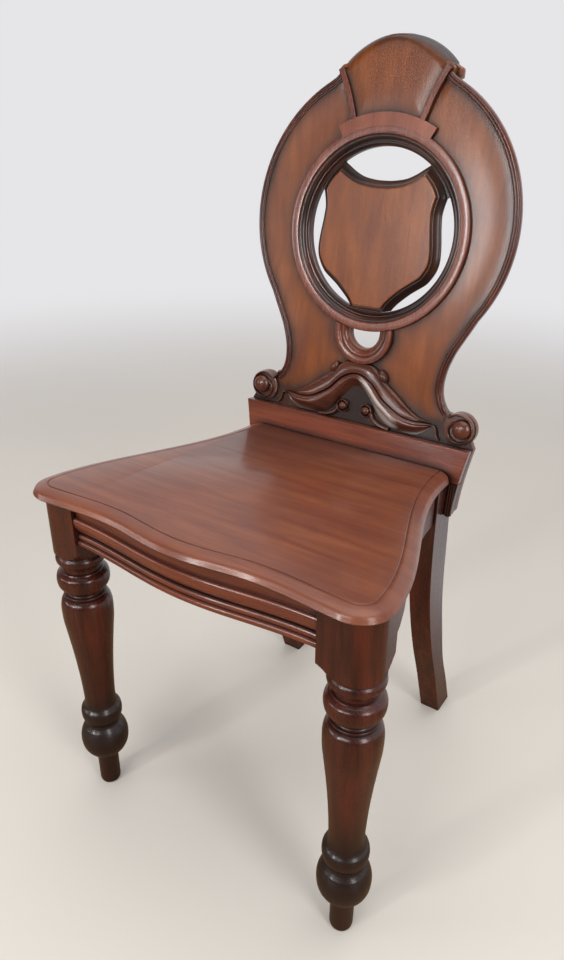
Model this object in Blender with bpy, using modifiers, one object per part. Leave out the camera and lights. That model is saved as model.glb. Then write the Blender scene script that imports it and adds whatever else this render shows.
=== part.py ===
"""A mahogany hall chair: turned front legs, sabre rear legs, a shaped board seat and a carved,
pierced balloon back. Metres, +Z up, the chair faces -Y and stands on z = 0."""

from math import cos, pi, radians, sin, sqrt, tan

import bmesh
import bpy
from mathutils import Matrix, Vector

for startup_object in list(bpy.data.objects):
    bpy.data.objects.remove(startup_object, do_unlink=True)

# Fits
GLUE_GAP = 0.0003
CUT_OVERRUN = 0.004
WELD = 0.00002

# The seat, measured from the line between the front leg axes
SEAT_HEIGHT = 0.450
SEAT_FALL = radians(3.67)
SEAT_THICKNESS = 0.016
SEAT_HALF_WIDTH = 0.2135
SEAT_REAR_OVERHANG = 0.0053
SEAT_HOLLOW_REACH = 0.0355
SEAT_NOSE_SWELL = 0.011
SEAT_NOSE_HALF = 0.100
SEAT_CORNER_SWELL = 0.0057
SEAT_CORNER_RADIUS = 0.033
SEAT_REAR_RADIUS = 0.012
SEAT_SWEEP_POWER = 0.9
THUMB_MOULD = 0.0145

# The front legs: heights from the floor, radii from the axis
LEG_INSET = 0.034
LEG_HALF_SPREAD = SEAT_HALF_WIDTH - LEG_INSET
BLOCK_HALF = 0.028
BLOCK_OUTER_TAPER = 0.0045
BLOCK_CORNER_RADIUS = 0.026
BLOCK_SHOULDER_RADIUS = 0.0415
BLOCK_SHOULDER_HEIGHT = 0.013
BLOCK_HEIGHT = 0.086
TURNING_HEIGHT = SEAT_HEIGHT - BLOCK_HEIGHT
TURNING_OVERLAP = 0.006
TURNING_NECK_RADIUS = 0.028
TOP_RING_RADIUS = 0.0307
TOP_GROOVE_RADIUS = 0.0225
SHAFT_HEAD_RADIUS = 0.0305
SHAFT_FOOT_RADIUS = 0.019
LOWER_RING_RADIUS = 0.026
LOWER_NECK_RADIUS = 0.0212
BULB_RADIUS = 0.030
PEG_RADIUS = 0.0135

# The rear legs: side outline in the plane of the chair's depth
REAR_LEG_HALF_WIDTH = 0.1392
SEAT_REAR_HALF_WIDTH = REAR_LEG_HALF_WIDTH + SEAT_REAR_OVERHANG
REAR_LEG_WIDTH = 0.0286
REAR_LEG_SETBACK = 0.263
REAR_HEAD_DEPTH = 0.044
REAR_FOOT_REACH = 0.4009
REAR_FOOT_DEPTH = 0.0376

# The rails
FRONT_RAIL_HEIGHT = 0.048
FRONT_RAIL_RELIEF = 0.010
FRONT_RAIL_BACK = 0.002
FRONT_RAIL_END_REACH = 0.015
FRONT_RAIL_SWELL = 0.012
SIDE_RAIL_HEIGHT = 0.046
SIDE_RAIL_THICKNESS = 0.022
SIDE_RAIL_INSET = 0.009
REAR_RAIL_THICKNESS = 0.022
REAR_RAIL_HEIGHT = 0.037
TENON_THICKNESS = 0.010
TENON_HEIGHT = 0.026
TENON_LENGTH = 0.014
TENON_DROP = 0.022
GLUE_BLOCK_SIDE = 0.025
GLUE_BLOCK_HEIGHT = 0.032

# The back: across and up its raked front plane, from the height of the seat
BACK_SETBACK = 0.3043
BACK_RAKE = radians(7.35)
BOARD_THICKNESS = 0.012
FIELD_DEPTH = 0.003
RIM_WIDTH = 0.0085
RING_CENTRE = 0.236
RING_RADIUS = 0.114
LABEL_RADIUS = 0.1255
CREST_HEIGHT = 0.0759
CREST_TOP = RING_CENTRE + LABEL_RADIUS + CREST_HEIGHT
EAR_HALF_WIDTH = 0.068
EAR_DROP = 0.0304
EAR_TOP = CREST_TOP - EAR_DROP
EAR_HEIGHT = 0.010
BALLOON_CENTRE = 0.246
BALLOON_RADIUS = 0.166
BOARD_FOOT = 0.0775
DROP_WIDTH = 0.0088
BOARD_FOOT_HALF_WIDTH = REAR_LEG_HALF_WIDTH + DROP_WIDTH
VOLUTE_INSET = 0.0108
VOLUTE_OUT = BOARD_FOOT_HALF_WIDTH - VOLUTE_INSET
VOLUTE_UP = 0.028
LOBE_RADIUS = 0.0200
WAIST_INSET = 0.0278
WAIST_HALF_WIDTH = VOLUTE_OUT - WAIST_INSET
WAIST_HEIGHT = 0.076
PLINTH_TOP = 0.0074
PLINTH_SPREAD = 0.0095
PLINTH_HALF_WIDTH = BOARD_FOOT_HALF_WIDTH + PLINTH_SPREAD
PLINTH_THICKNESS = 0.011
DROP_REED = 0.002

# The turned ring, the shield in it and the collar below it
RING_BAND = 0.010
RING_DEPTH = 0.016
RING_SEAT_RADIUS = 0.1003
RING_OPENING_RADIUS = 0.092
RING_PROUD = 0.0025
COLLAR_CENTRE = 0.120
COLLAR_RADIUS = 0.0385
COLLAR_OPENING_RADIUS = 0.0195
COLLAR_PROUD = 0.003
SHIELD_HALF_WIDTH = 0.0705
SHIELD_HEIGHT = 0.1475
SHIELD_FOOT = 0.151
SHIELD_PROUD = 0.0015
SHIELD_STEP_DEPTH = 0.0025
SHIELD_STEP_WIDTH = 0.003
SHIELD_SPREAD = 0.009
SHIELD_ARM_DEPTH = 0.0096
SHIELD_ARM_THICKNESS = 0.0044
SHIELD_DOWEL_RADIUS = 0.0015
SHIELD_DOWEL_LENGTH = 0.010

# The planted carving of the back
LABEL_HALF_ANGLE = 28.5
RIB_FOOT_HALF_SPREAD = 0.042
RIB_TOP_INSET = 0.0038
RIB_WIDTH = 0.0068
RIB_PROUD = 0.0028
CREST_PANEL_PROUD = 0.002
CREST_BEAD = 0.008
BACKING_THICKNESS = 0.009
BACKING_RADIUS = 0.090
BACKING_RISE = 0.0025
BACKING_INSET = 0.0015
BACKING_HOLLOW = 0.010
ARCH_HEIGHT = 0.085
ARCH_END_INSET = 0.0352
ARCH_HALF_SPAN = VOLUTE_OUT - ARCH_END_INSET
ARCH_FOOT = 0.0082
ARCH_PROUD = 0.008
ARCH_EDGE = 0.0025
BUD_RADIUS = 0.008
BUD_OUT_SHARE = 0.152
BUD_OUT = BUD_OUT_SHARE * ARCH_HALF_SPAN
BUD_UP = 0.025
CURL_RADIUS = 0.0052
CURL_OUT_SHARE = 0.3726
CURL_OUT = CURL_OUT_SHARE * ARCH_HALF_SPAN
CURL_UP = 0.0705
VOLUTE_RADIUS = 0.0195
VOLUTE_PROUD = 0.0035
VOLUTE_EYE_RADIUS = 0.0105
VOLUTE_EYE_PROUD = 0.009
DOME_RIM = 0.0015

# The screws
SCREW_RADIUS = 0.0021
SCREW_HEAD_RADIUS = 0.0042
SCREW_HEAD_HEIGHT = 0.003
SCREW_BITE = 0.012
SCREW_SINK = 0.001

SIDES = (("right", 1), ("left", -1))

# How finely round things are divided
LEG_SIDES = 24
RING_SIDES = 60
SMALL_SIDES = 14
SCREW_SIDES = 10


def linear(value):
    """One sRGB channel, 0 to 255, as the linear value that a shader takes."""
    share = value / 255
    return share / 12.92 if share <= 0.04045 else ((share + 0.055) / 1.055) ** 2.4


def material(name, red, green, blue, roughness, metallic=0.0):
    made = bpy.data.materials.new(name)
    made.use_nodes = True
    shader = made.node_tree.nodes["Principled BSDF"]
    shader.inputs["Base Color"].default_value = (linear(red), linear(green), linear(blue), 1)
    shader.inputs["Roughness"].default_value = roughness
    shader.inputs["Metallic"].default_value = metallic
    return made


SEAT_WOOD = material("seat_mahogany", 125, 72, 48, 0.32)
PANEL_WOOD = material("panel_mahogany", 145, 90, 60, 0.36)
FRAME_WOOD = material("frame_mahogany", 105, 50, 38, 0.34)
LEG_WOOD = material("leg_mahogany", 70, 35, 28, 0.30)
CARVED_WOOD = material("carved_mahogany", 92, 50, 40, 0.34)
BLOCK_WOOD = material("block_pine", 168, 128, 84, 0.70)
SCREW_STEEL = material("screw_steel", 120, 116, 110, 0.42, 1.0)

chair = bpy.data.collections.new("hall_chair")
bpy.context.scene.collection.children.link(chair)
cutters = bpy.data.collections.new("cutters")
bpy.context.scene.collection.children.link(cutters)
cutters.hide_render = True


def frame_empty(name, location, tilt, parent=None):
    empty = bpy.data.objects.new(name, None)
    empty.location = location
    empty.rotation_euler.x = tilt
    empty.parent = parent
    chair.objects.link(empty)
    return empty


# The box of the chair runs from the seat's nose to the rear feet, and is centred on the origin.
SEAT_NOSE_REACH = SEAT_HOLLOW_REACH + SEAT_NOSE_SWELL
LEG_LINE = -(REAR_FOOT_REACH - SEAT_NOSE_REACH) / 2
floor_frame = frame_empty("floor_frame", (0, LEG_LINE, 0), 0)
seat_frame = frame_empty("seat_frame", (0, 0, SEAT_HEIGHT), -SEAT_FALL, floor_frame)
back_frame = frame_empty("back_frame", (0, BACK_SETBACK, SEAT_HEIGHT), -BACK_RAKE, floor_frame)

# A plate is drawn flat in X and Y and then laid into its frame by one of these turns.
FLAT = Matrix.Identity(4)
STANDING = Matrix.Rotation(pi / 2, 4, "X")
SIDEWAYS = Matrix(((0, 0, 1, 0), (1, 0, 0, 0), (0, 1, 0, 0), (0, 0, 0, 1)))


def add_object(name, mesh, wood, parent, smooth=True):
    made = bpy.data.objects.new(name, mesh)
    made.parent = parent
    if wood is None:
        made.hide_render = True
        made.display_type = "WIRE"
        cutters.objects.link(made)
        return made
    mesh.materials.clear()
    mesh.materials.append(wood)
    if smooth:
        mesh.shade_smooth()
        mesh.set_sharp_from_angle(angle=radians(32))
    chair.objects.link(made)
    return made


def mesh_of(obj):
    """The evaluated mesh of a helper object, with its loose caps welded. The helper is removed."""
    bpy.context.view_layer.update()
    evaluated = obj.evaluated_get(bpy.context.evaluated_depsgraph_get())
    mesh = bpy.data.meshes.new_from_object(evaluated)
    bpy.data.objects.remove(obj, do_unlink=True)
    work = bmesh.new()
    work.from_mesh(mesh)
    bmesh.ops.remove_doubles(work, verts=work.verts, dist=WELD)
    bmesh.ops.recalc_face_normals(work, faces=work.faces)
    work.to_mesh(mesh)
    work.free()
    return mesh


def plate_mesh(outline, low, high, turn=FLAT, holes=()):
    """A flat outline between two heights, as a filled 2D curve. Holes are outlines inside it."""
    curve = bpy.data.curves.new("plate", "CURVE")
    curve.dimensions = "2D"
    curve.fill_mode = "BOTH"
    curve.extrude = (high - low) / 2
    for loop in (outline, *holes):
        spline = curve.splines.new("POLY")
        spline.points.add(len(loop) - 1)
        for point, (x, y) in zip(spline.points, loop):
            point.co = (x, y, 0, 1)
        spline.use_cyclic_u = True
    helper = bpy.data.objects.new("plate", curve)
    chair.objects.link(helper)
    mesh = mesh_of(helper)
    mesh.transform(turn @ Matrix.Translation((0, 0, (high + low) / 2)))
    return mesh


def standing_plate(name, outline, front, rear, wood, holes=()):
    """A plate of the back: front and rear are depths behind the back's front plane."""
    mesh = plate_mesh(outline, -rear, -front, STANDING, holes)
    return add_object(name, mesh, wood, back_frame)


def turned_mesh(profile, sides, closed=False):
    """A profile of (radius, height), from the top down its outer side, turned about Z."""
    mesh = bpy.data.meshes.new("turned")
    edges = [(i, i + 1) for i in range(len(profile) - 1)]
    if closed:
        edges.append((len(profile) - 1, 0))
    mesh.from_pydata([(radius, 0, height) for radius, height in profile], edges, [])
    helper = bpy.data.objects.new("turned", mesh)
    chair.objects.link(helper)
    screw = helper.modifiers.new("turn", "SCREW")
    screw.steps = screw.render_steps = sides
    screw.use_merge_vertices = True
    screw.merge_threshold = WELD
    return mesh_of(helper)


def box_mesh(low, high):
    work = bmesh.new()
    bmesh.ops.create_cube(work, size=1)
    size = [high[i] - low[i] for i in range(3)]
    middle = [(high[i] + low[i]) / 2 for i in range(3)]
    work.transform(Matrix.Translation(middle) @ Matrix.Diagonal((*size, 1)))
    mesh = bpy.data.meshes.new("box")
    work.to_mesh(mesh)
    work.free()
    return mesh


def rod_mesh(radius, start, end, sides):
    """A plain cylinder between two points."""
    work = bmesh.new()
    span = Vector(end) - Vector(start)
    bmesh.ops.create_cone(
        work, cap_ends=True, segments=sides, radius1=radius, radius2=radius, depth=span.length
    )
    turn = span.to_track_quat("Z", "Y").to_matrix().to_4x4()
    work.transform(Matrix.Translation((Vector(start) + Vector(end)) / 2) @ turn)
    mesh = bpy.data.meshes.new("rod")
    work.to_mesh(mesh)
    work.free()
    return mesh


def loft_mesh(sections):
    """A closed body through sections that each have the same number of points."""
    work = bmesh.new()
    rings = [[work.verts.new(point) for point in section] for section in sections]
    count = len(rings[0])
    for ring, following in zip(rings, rings[1:]):
        for i in range(count):
            j = (i + 1) % count
            work.faces.new((ring[i], ring[j], following[j], following[i]))
    work.faces.new(rings[0])
    work.faces.new(rings[-1])
    bmesh.ops.recalc_face_normals(work, faces=work.faces)
    mesh = bpy.data.meshes.new("loft")
    work.to_mesh(mesh)
    work.free()
    return mesh


def boolean(host, operand, operation):
    change = host.modifiers.new(operation.lower(), "BOOLEAN")
    change.operation = operation
    change.object = operand


def cut(host, mesh, parent):
    boolean(host, add_object("cutter_" + host.name, mesh, None, parent), "DIFFERENCE")


def soften(host, width, segments=2):
    change = host.modifiers.new("soften", "BEVEL")
    change.width = width
    change.segments = segments
    change.limit_method = "ANGLE"
    change.angle_limit = radians(50)


def arc(centre, radius, start, end, steps):
    """Points of an arc, with its angles in degrees anticlockwise from +X."""
    turns = [radians(start + (end - start) * i / steps) for i in range(steps + 1)]
    return [(centre[0] + radius * cos(t), centre[1] + radius * sin(t)) for t in turns]


def smooth_curve(points, steps):
    """A curve that passes through every point, divided into steps between each two."""
    ends = [points[0], *points, points[-1]]
    made = []
    for a, b, c, d in zip(ends, ends[1:], ends[2:], ends[3:]):
        for i in range(steps):
            t = i / steps
            made.append(tuple(
                b[k] + t * (c[k] - a[k]) / 2
                + t * t * (a[k] - 2.5 * b[k] + 2 * c[k] - d[k] / 2)
                + t * t * t * (1.5 * (b[k] - c[k]) + (d[k] - a[k]) / 2)
                for k in range(2)
            ))
    return made + [points[-1]]


def both_sides(half):
    """A whole outline from its right half, which starts and ends on the middle line."""
    return half + [(-x, y) for x, y in reversed(half) if abs(x) > WELD]


def scaled(shares, width, height, base=0):
    return [(x * width, base + y * height) for x, y in shares]


def offset_line(points, distance):
    """An open line moved sideways, to its right for a positive distance."""
    moved = []
    for i, (x, y) in enumerate(points):
        before, after = points[max(i - 1, 0)], points[min(i + 1, len(points) - 1)]
        run, rise = after[0] - before[0], after[1] - before[1]
        length = sqrt(run * run + rise * rise)
        moved.append((x + distance * rise / length, y - distance * run / length))
    return moved


def seat_under(y):
    """Height above the floor of the underside of the seat, at a distance behind the leg line."""
    return SEAT_HEIGHT - y * tan(SEAT_FALL) - SEAT_THICKNESS / cos(SEAT_FALL)


def back_plane(z):
    """Distance of the back's front plane behind the leg line, at a height above the floor."""
    return BACK_SETBACK + (z - SEAT_HEIGHT) * tan(BACK_RAKE)


# The seat stops just in front of the plinth, whose face leans more than the seat's edge does.
PLINTH_FOOT_LINE = back_plane(seat_under(BACK_SETBACK)) - PLINTH_THICKNESS / cos(BACK_RAKE)
SEAT_REAR = PLINTH_FOOT_LINE - GLUE_GAP


def seat_front_reach(x):
    """How far the seat's front edge stands before the leg line."""
    if abs(x) < SEAT_NOSE_HALF:
        return SEAT_HOLLOW_REACH + SEAT_NOSE_SWELL * (1 + cos(pi * x / SEAT_NOSE_HALF)) / 2
    run = (abs(x) - SEAT_NOSE_HALF) / (SEAT_HALF_WIDTH - SEAT_CORNER_RADIUS / 2 - SEAT_NOSE_HALF)
    return SEAT_HOLLOW_REACH + SEAT_CORNER_SWELL * (1 - cos(pi * run)) / 2


def seat_half_width(y):
    """The seat's half width between its front and rear corners."""
    front = SEAT_CORNER_RADIUS - seat_front_reach(SEAT_HALF_WIDTH - SEAT_CORNER_RADIUS)
    rear = SEAT_REAR - SEAT_REAR_RADIUS
    share = min(max((y - front) / (rear - front), 0), 1) ** SEAT_SWEEP_POWER
    sweep = SEAT_HALF_WIDTH - SEAT_REAR_HALF_WIDTH
    return SEAT_REAR_HALF_WIDTH + sweep * (1 + cos(pi * share)) / 2


def seat_outline(inset):
    """Plan of the seat, drawn in by an inset at its front, sides and corners, but not its rear."""
    corner_x = SEAT_HALF_WIDTH - SEAT_CORNER_RADIUS
    corner_y = SEAT_CORNER_RADIUS - seat_front_reach(corner_x)
    rear_radius = SEAT_REAR_RADIUS * (1 - 0.8 * inset / THUMB_MOULD)
    rear_y = SEAT_REAR - rear_radius
    across = [corner_x * i / 14 for i in range(14)]
    front = [(x, inset - seat_front_reach(x)) for x in across]
    corner = arc((corner_x, corner_y), SEAT_CORNER_RADIUS - inset, -90, 0, 6)
    depths = [corner_y + (rear_y - corner_y) * i / 11 for i in range(1, 11)]
    side = [(seat_half_width(y) - inset, y) for y in depths]
    rear_x = SEAT_REAR_HALF_WIDTH - inset - rear_radius
    return both_sides(front + corner + side + arc((rear_x, rear_y), rear_radius, 0, 90, 4))


def seat_board():
    """The board, with a thumb-nail mould on its edge: shares of the inset and of the thickness."""
    edge_shares = (
        (1.0, 0), (0.62, 0.07), (0.27, 0.23), (0.07, 0.43), (0, 0.60), (0.10, 0.82), (0.42, 1.0),
    )
    sections = [
        [(x, y, -down * SEAT_THICKNESS) for x, y in seat_outline(inset * THUMB_MOULD)]
        for inset, down in edge_shares
    ]
    return add_object("seat_board", loft_mesh(sections), SEAT_WOOD, seat_frame)


def front_leg_profile():
    """Radii and heights of the turning, from the block down to the floor."""
    turning_shares = (
        (TURNING_NECK_RADIUS, ((1.0, 1.0), (0.95, 0.978), (0.98, 0.962), (0.93, 0.945))),
        (TOP_GROOVE_RADIUS, ((1.0, 0.933), (1.0, 0.926))),
        (TOP_RING_RADIUS, ((0.92, 0.915), (1.0, 0.898), (0.99, 0.879), (0.88, 0.860))),
        (TOP_GROOVE_RADIUS, ((0.98, 0.846), (0.98, 0.832))),
        (SHAFT_HEAD_RADIUS, (
            (0.87, 0.817), (0.97, 0.800), (1.0, 0.777), (0.98, 0.731), (0.93, 0.698),
            (0.83, 0.632), (0.74, 0.566),
        )),
        (SHAFT_FOOT_RADIUS, ((1.08, 0.500), (1.0, 0.412), (1.02, 0.382))),
        (LOWER_RING_RADIUS, ((0.85, 0.362), (0.98, 0.345), (1.0, 0.327), (0.94, 0.302))),
        (LOWER_NECK_RADIUS, ((1.0, 0.289), (1.0, 0.277))),
        (BULB_RADIUS, (
            (0.87, 0.256), (0.97, 0.234), (1.0, 0.207), (0.94, 0.179), (0.80, 0.155),
            (0.60, 0.138),
        )),
        (PEG_RADIUS, ((1.05, 0.126), (1.0, 0.113), (1.0, 0.022), (0.93, 0.008), (0.78, 0))),
    )
    top = TURNING_HEIGHT + TURNING_OVERLAP
    profile = [(0, top), (TURNING_NECK_RADIUS, top)]
    for radius, places in turning_shares:
        profile += [(radius * out, TURNING_HEIGHT * up) for out, up in places]
    return [*profile, (0, 0)]


def front_block_outline(side):
    """Plan of the block: square inside, with a column corner that follows the seat's corner."""
    centre = BLOCK_HALF - BLOCK_CORNER_RADIUS
    corner = arc((centre, -centre), BLOCK_CORNER_RADIUS, -90, 0, 7)
    outline = [(-BLOCK_HALF, BLOCK_HALF), (-BLOCK_HALF, -BLOCK_HALF), *corner]
    outline.append((BLOCK_HALF - BLOCK_OUTER_TAPER, BLOCK_HALF))
    return [(side * x, y) for x, y in outline]


def front_leg(name, side):
    low = TURNING_HEIGHT
    high = SEAT_HEIGHT
    mesh = plate_mesh(front_block_outline(side), low, high)
    for vert in mesh.vertices:
        if vert.co.z > (low + high) / 2:
            vert.co.z = seat_under(vert.co.y) - GLUE_GAP
    leg = add_object(name, mesh, LEG_WOOD, floor_frame)
    leg.location.x = side * LEG_HALF_SPREAD
    shoulder_top = low + BLOCK_SHOULDER_HEIGHT
    shoulder = turned_mesh(
        (
            (0, high),
            (BLOCK_SHOULDER_RADIUS, high),
            (BLOCK_SHOULDER_RADIUS, shoulder_top),
            ((BLOCK_SHOULDER_RADIUS + BLOCK_HALF) / 2, (shoulder_top + low) / 2),
            (TURNING_NECK_RADIUS, low - CUT_OVERRUN),
            (0, low - CUT_OVERRUN),
        ),
        LEG_SIDES,
    )
    shoulder_tool = add_object(name + "_shoulder", shoulder, None, floor_frame)
    shoulder_tool.location.x = side * LEG_HALF_SPREAD
    boolean(leg, shoulder_tool, "INTERSECT")
    turning = turned_mesh(front_leg_profile(), LEG_SIDES)
    turning_tool = add_object(name + "_turning", turning, None, floor_frame)
    turning_tool.location.x = side * LEG_HALF_SPREAD
    boolean(leg, turning_tool, "UNION")
    return leg


def in_back_frame(depth, up):
    """A point behind and up the back's front plane, in the floor frame."""
    rake = BACK_RAKE
    y = BACK_SETBACK + depth * cos(rake) + up * sin(rake)
    return (y, SEAT_HEIGHT - depth * sin(rake) + up * cos(rake))


# The back board's foot stands on the shoulders of the rear legs, square to its own face.
REAR_HEAD_REAR = REAR_LEG_SETBACK + REAR_HEAD_DEPTH
SHOULDER_UP = -BOARD_FOOT - GLUE_GAP
SHOULDER_DEPTH = (REAR_HEAD_REAR - in_back_frame(0, SHOULDER_UP)[0]) / cos(BACK_RAKE)
SHOULDER_HEIGHT = in_back_frame(SHOULDER_DEPTH, SHOULDER_UP)[1]


def rear_leg_side(shares, head_y, foot_y):
    """One long edge of the sabre leg, from shares of its sweep and of the shoulder's height."""
    return [(head_y + (foot_y - head_y) * x, SHOULDER_HEIGHT * y) for x, y in shares]


def rear_leg(name, side):
    front_shares = (
        (0.000, 1.00), (0.015, 0.89), (0.08, 0.73), (0.195, 0.59), (0.395, 0.42),
        (0.68, 0.23), (1.0, 0),
    )
    rear_shares = (
        (0.000, 1.00), (0.043, 0.86), (0.08, 0.74), (0.16, 0.61), (0.32, 0.45),
        (0.51, 0.29), (0.777, 0.14), (1.0, 0),
    )
    foot_front = REAR_FOOT_REACH - REAR_FOOT_DEPTH
    front = smooth_curve(rear_leg_side(front_shares, REAR_LEG_SETBACK, foot_front), 2)
    rear = smooth_curve(rear_leg_side(rear_shares, REAR_HEAD_REAR, REAR_FOOT_REACH), 2)
    head_top_front = (REAR_LEG_SETBACK, seat_under(REAR_LEG_SETBACK) - GLUE_GAP)
    rebate_top = back_plane(seat_under(BACK_SETBACK)) - GLUE_GAP
    head_top_rear = (rebate_top, seat_under(rebate_top) - GLUE_GAP)
    rebate_foot = in_back_frame(-GLUE_GAP, SHOULDER_UP)
    outline = [head_top_rear, head_top_front, *front, *reversed(rear), rebate_foot]
    low, high = REAR_LEG_HALF_WIDTH - REAR_LEG_WIDTH, REAR_LEG_HALF_WIDTH
    if side < 0:
        low, high = -high, -low
    mesh = plate_mesh(outline, low, high, SIDEWAYS)
    leg = add_object(name, mesh, LEG_WOOD, floor_frame)
    return leg


def front_rail_section(x):
    """The moulded section at one place across the rail: out from its back, and down."""
    share = min(abs(x) / (LEG_HALF_SPREAD - BLOCK_HALF), 1)
    reach = FRONT_RAIL_END_REACH + FRONT_RAIL_SWELL * (1 + cos(pi * share)) / 2
    mould_shares = (
        (0.35, 0.00), (0.80, 0.05), (1.00, 0.16), (0.98, 0.24), (0.85, 0.35), (0.66, 0.45),
        (0.44, 0.56), (0.12, 0.665), (0.45, 0.70), (0.60, 0.78), (0.45, 0.86), (0.70, 0.90),
        (0.60, 1.00),
    )
    top = -SEAT_THICKNESS - GLUE_GAP
    face = [
        (x, -reach - out * FRONT_RAIL_RELIEF, top - down * FRONT_RAIL_HEIGHT)
        for out, down in mould_shares
    ]
    back = [(x, FRONT_RAIL_BACK, top - FRONT_RAIL_HEIGHT), (x, FRONT_RAIL_BACK, top)]
    return face + back


def front_rail():
    end = LEG_HALF_SPREAD - BLOCK_HALF - GLUE_GAP
    mesh = loft_mesh([front_rail_section(end * i / 8) for i in range(-8, 9)])
    return add_object("front_rail", mesh, FRAME_WOOD, seat_frame)


def seat_depth(y, z=0):
    """The depth in the seat frame of an upright face, at a height above or below the seat."""
    return (y - z * sin(SEAT_FALL)) / cos(SEAT_FALL)


def side_rail_outline(side):
    """Plan of a side rail: sawn to the sweep of the seat, from the leg block to the rear leg."""
    start, end = seat_depth(BLOCK_HALF + GLUE_GAP), seat_depth(REAR_LEG_SETBACK - GLUE_GAP)
    depths = [start + (end - start) * i / 10 for i in range(11)]
    outer = [(seat_half_width(y) - SIDE_RAIL_INSET, y) for y in depths]
    inner = [(x - SIDE_RAIL_THICKNESS, y) for x, y in outer]
    return [(side * x, y) for x, y in outer + inner[::-1]]


def side_rail(name, side):
    top = -SEAT_THICKNESS - GLUE_GAP
    mesh = plate_mesh(side_rail_outline(side), top - SIDE_RAIL_HEIGHT, top)
    for vert in mesh.vertices:
        vert.co.y -= vert.co.z * tan(SEAT_FALL)
    return add_object(name, mesh, FRAME_WOOD, seat_frame)


def in_seat_frame(y, z):
    """A point of the seat frame's depth and height, in the floor frame."""
    fall = SEAT_FALL
    return (y * cos(fall) + z * sin(fall), SEAT_HEIGHT - y * sin(fall) + z * cos(fall))


REAR_RAIL_REAR = back_plane(seat_under(BACK_SETBACK)) - GLUE_GAP
REAR_RAIL_FRONT = REAR_RAIL_REAR - REAR_RAIL_THICKNESS
REAR_LEG_INSIDE = REAR_LEG_HALF_WIDTH - REAR_LEG_WIDTH


def rear_rail():
    top = -SEAT_THICKNESS - GLUE_GAP
    foot = top - REAR_RAIL_HEIGHT
    front_top = in_seat_frame(REAR_RAIL_FRONT, top)
    front_foot = in_seat_frame(REAR_RAIL_FRONT, foot)
    rear_foot = (back_plane(front_foot[1]) - GLUE_GAP, front_foot[1])
    rear_top = (REAR_RAIL_REAR, seat_under(REAR_RAIL_REAR) - GLUE_GAP)
    end = REAR_LEG_INSIDE - GLUE_GAP
    mesh = plate_mesh([front_top, front_foot, rear_foot, rear_top], -end, end, SIDEWAYS)
    return add_object("rear_rail", mesh, FRAME_WOOD, floor_frame)


def tenon_joint(rail, leg, root, direction, parent):
    """A tenon on the rail and its mortise in the leg. The root is the middle of the tenon's
    foot on the leg's face, and the direction is the axis that it enters along."""
    across = 1 if abs(direction[0]) > 0 else 0
    along = 1 - across

    def block(start, end, allowance):
        low, high = [0, 0, 0], [0, 0, 0]
        ends = sorted(root[along] + direction[along] * reach for reach in (start, end))
        low[along], high[along] = ends
        low[across] = root[across] - TENON_THICKNESS / 2 - allowance
        high[across] = root[across] + TENON_THICKNESS / 2 + allowance
        low[2] = root[2] - TENON_HEIGHT / 2 - allowance
        high[2] = root[2] + TENON_HEIGHT / 2 + allowance
        return box_mesh(low, high)

    tenon = add_object(rail.name + "_tenon", block(-CUT_OVERRUN, TENON_LENGTH, 0), None, parent)
    boolean(rail, tenon, "UNION")
    cut(leg, block(-CUT_OVERRUN, TENON_LENGTH + GLUE_GAP, GLUE_GAP), parent)


def screw(name, start, end, parent):
    """A countersunk wood screw whose head is at the start and whose tip is at the end."""
    span = Vector(end) - Vector(start)
    profile = (
        (0, 0),
        (SCREW_HEAD_RADIUS, 0),
        (SCREW_RADIUS, -SCREW_HEAD_HEIGHT),
        (SCREW_RADIUS, SCREW_RADIUS - span.length),
        (0, -span.length),
    )
    made = add_object(name, turned_mesh(profile, SCREW_SIDES), SCREW_STEEL, parent)
    made.location = start
    made.rotation_euler = (-span).to_track_quat("Z", "Y").to_euler()
    return made


def screw_hole(host, start, end, parent):
    """A hole that clears one screw, with a counterbore for its head."""
    way = (Vector(end) - Vector(start)).normalized()
    mouth = Vector(start) - way * (SCREW_SINK + CUT_OVERRUN)
    shank = rod_mesh(SCREW_RADIUS + GLUE_GAP, mouth, Vector(end) + way * GLUE_GAP, SCREW_SIDES)
    head_end = Vector(start) + way * (SCREW_HEAD_HEIGHT + GLUE_GAP)
    cut(host, shank, parent)
    return rod_mesh(SCREW_HEAD_RADIUS + GLUE_GAP, mouth, head_end, SCREW_SIDES)


def glue_block(name, corner, side, toward_rear):
    """A three-cornered block rubbed into a corner of the frame, under the seat."""
    x, y = corner
    reach = GLUE_BLOCK_SIDE if toward_rear else -GLUE_BLOCK_SIDE
    outline = [(x, y), (x - GLUE_BLOCK_SIDE, y), (x, y + reach)]
    top = -SEAT_THICKNESS - GLUE_GAP
    mesh = plate_mesh([(side * a, b) for a, b in outline], top - GLUE_BLOCK_HEIGHT, top)
    block = add_object(name, mesh, BLOCK_WOOD, seat_frame)
    middle = (side * (x - GLUE_BLOCK_SIDE / 3.4), y + reach / 3.4)
    head = (*middle, top - GLUE_BLOCK_HEIGHT + SCREW_SINK)
    tip = (*middle, -SEAT_THICKNESS + SCREW_BITE)
    cut(block, screw_hole(block, head, tip, seat_frame), seat_frame)
    return head, tip


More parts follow.
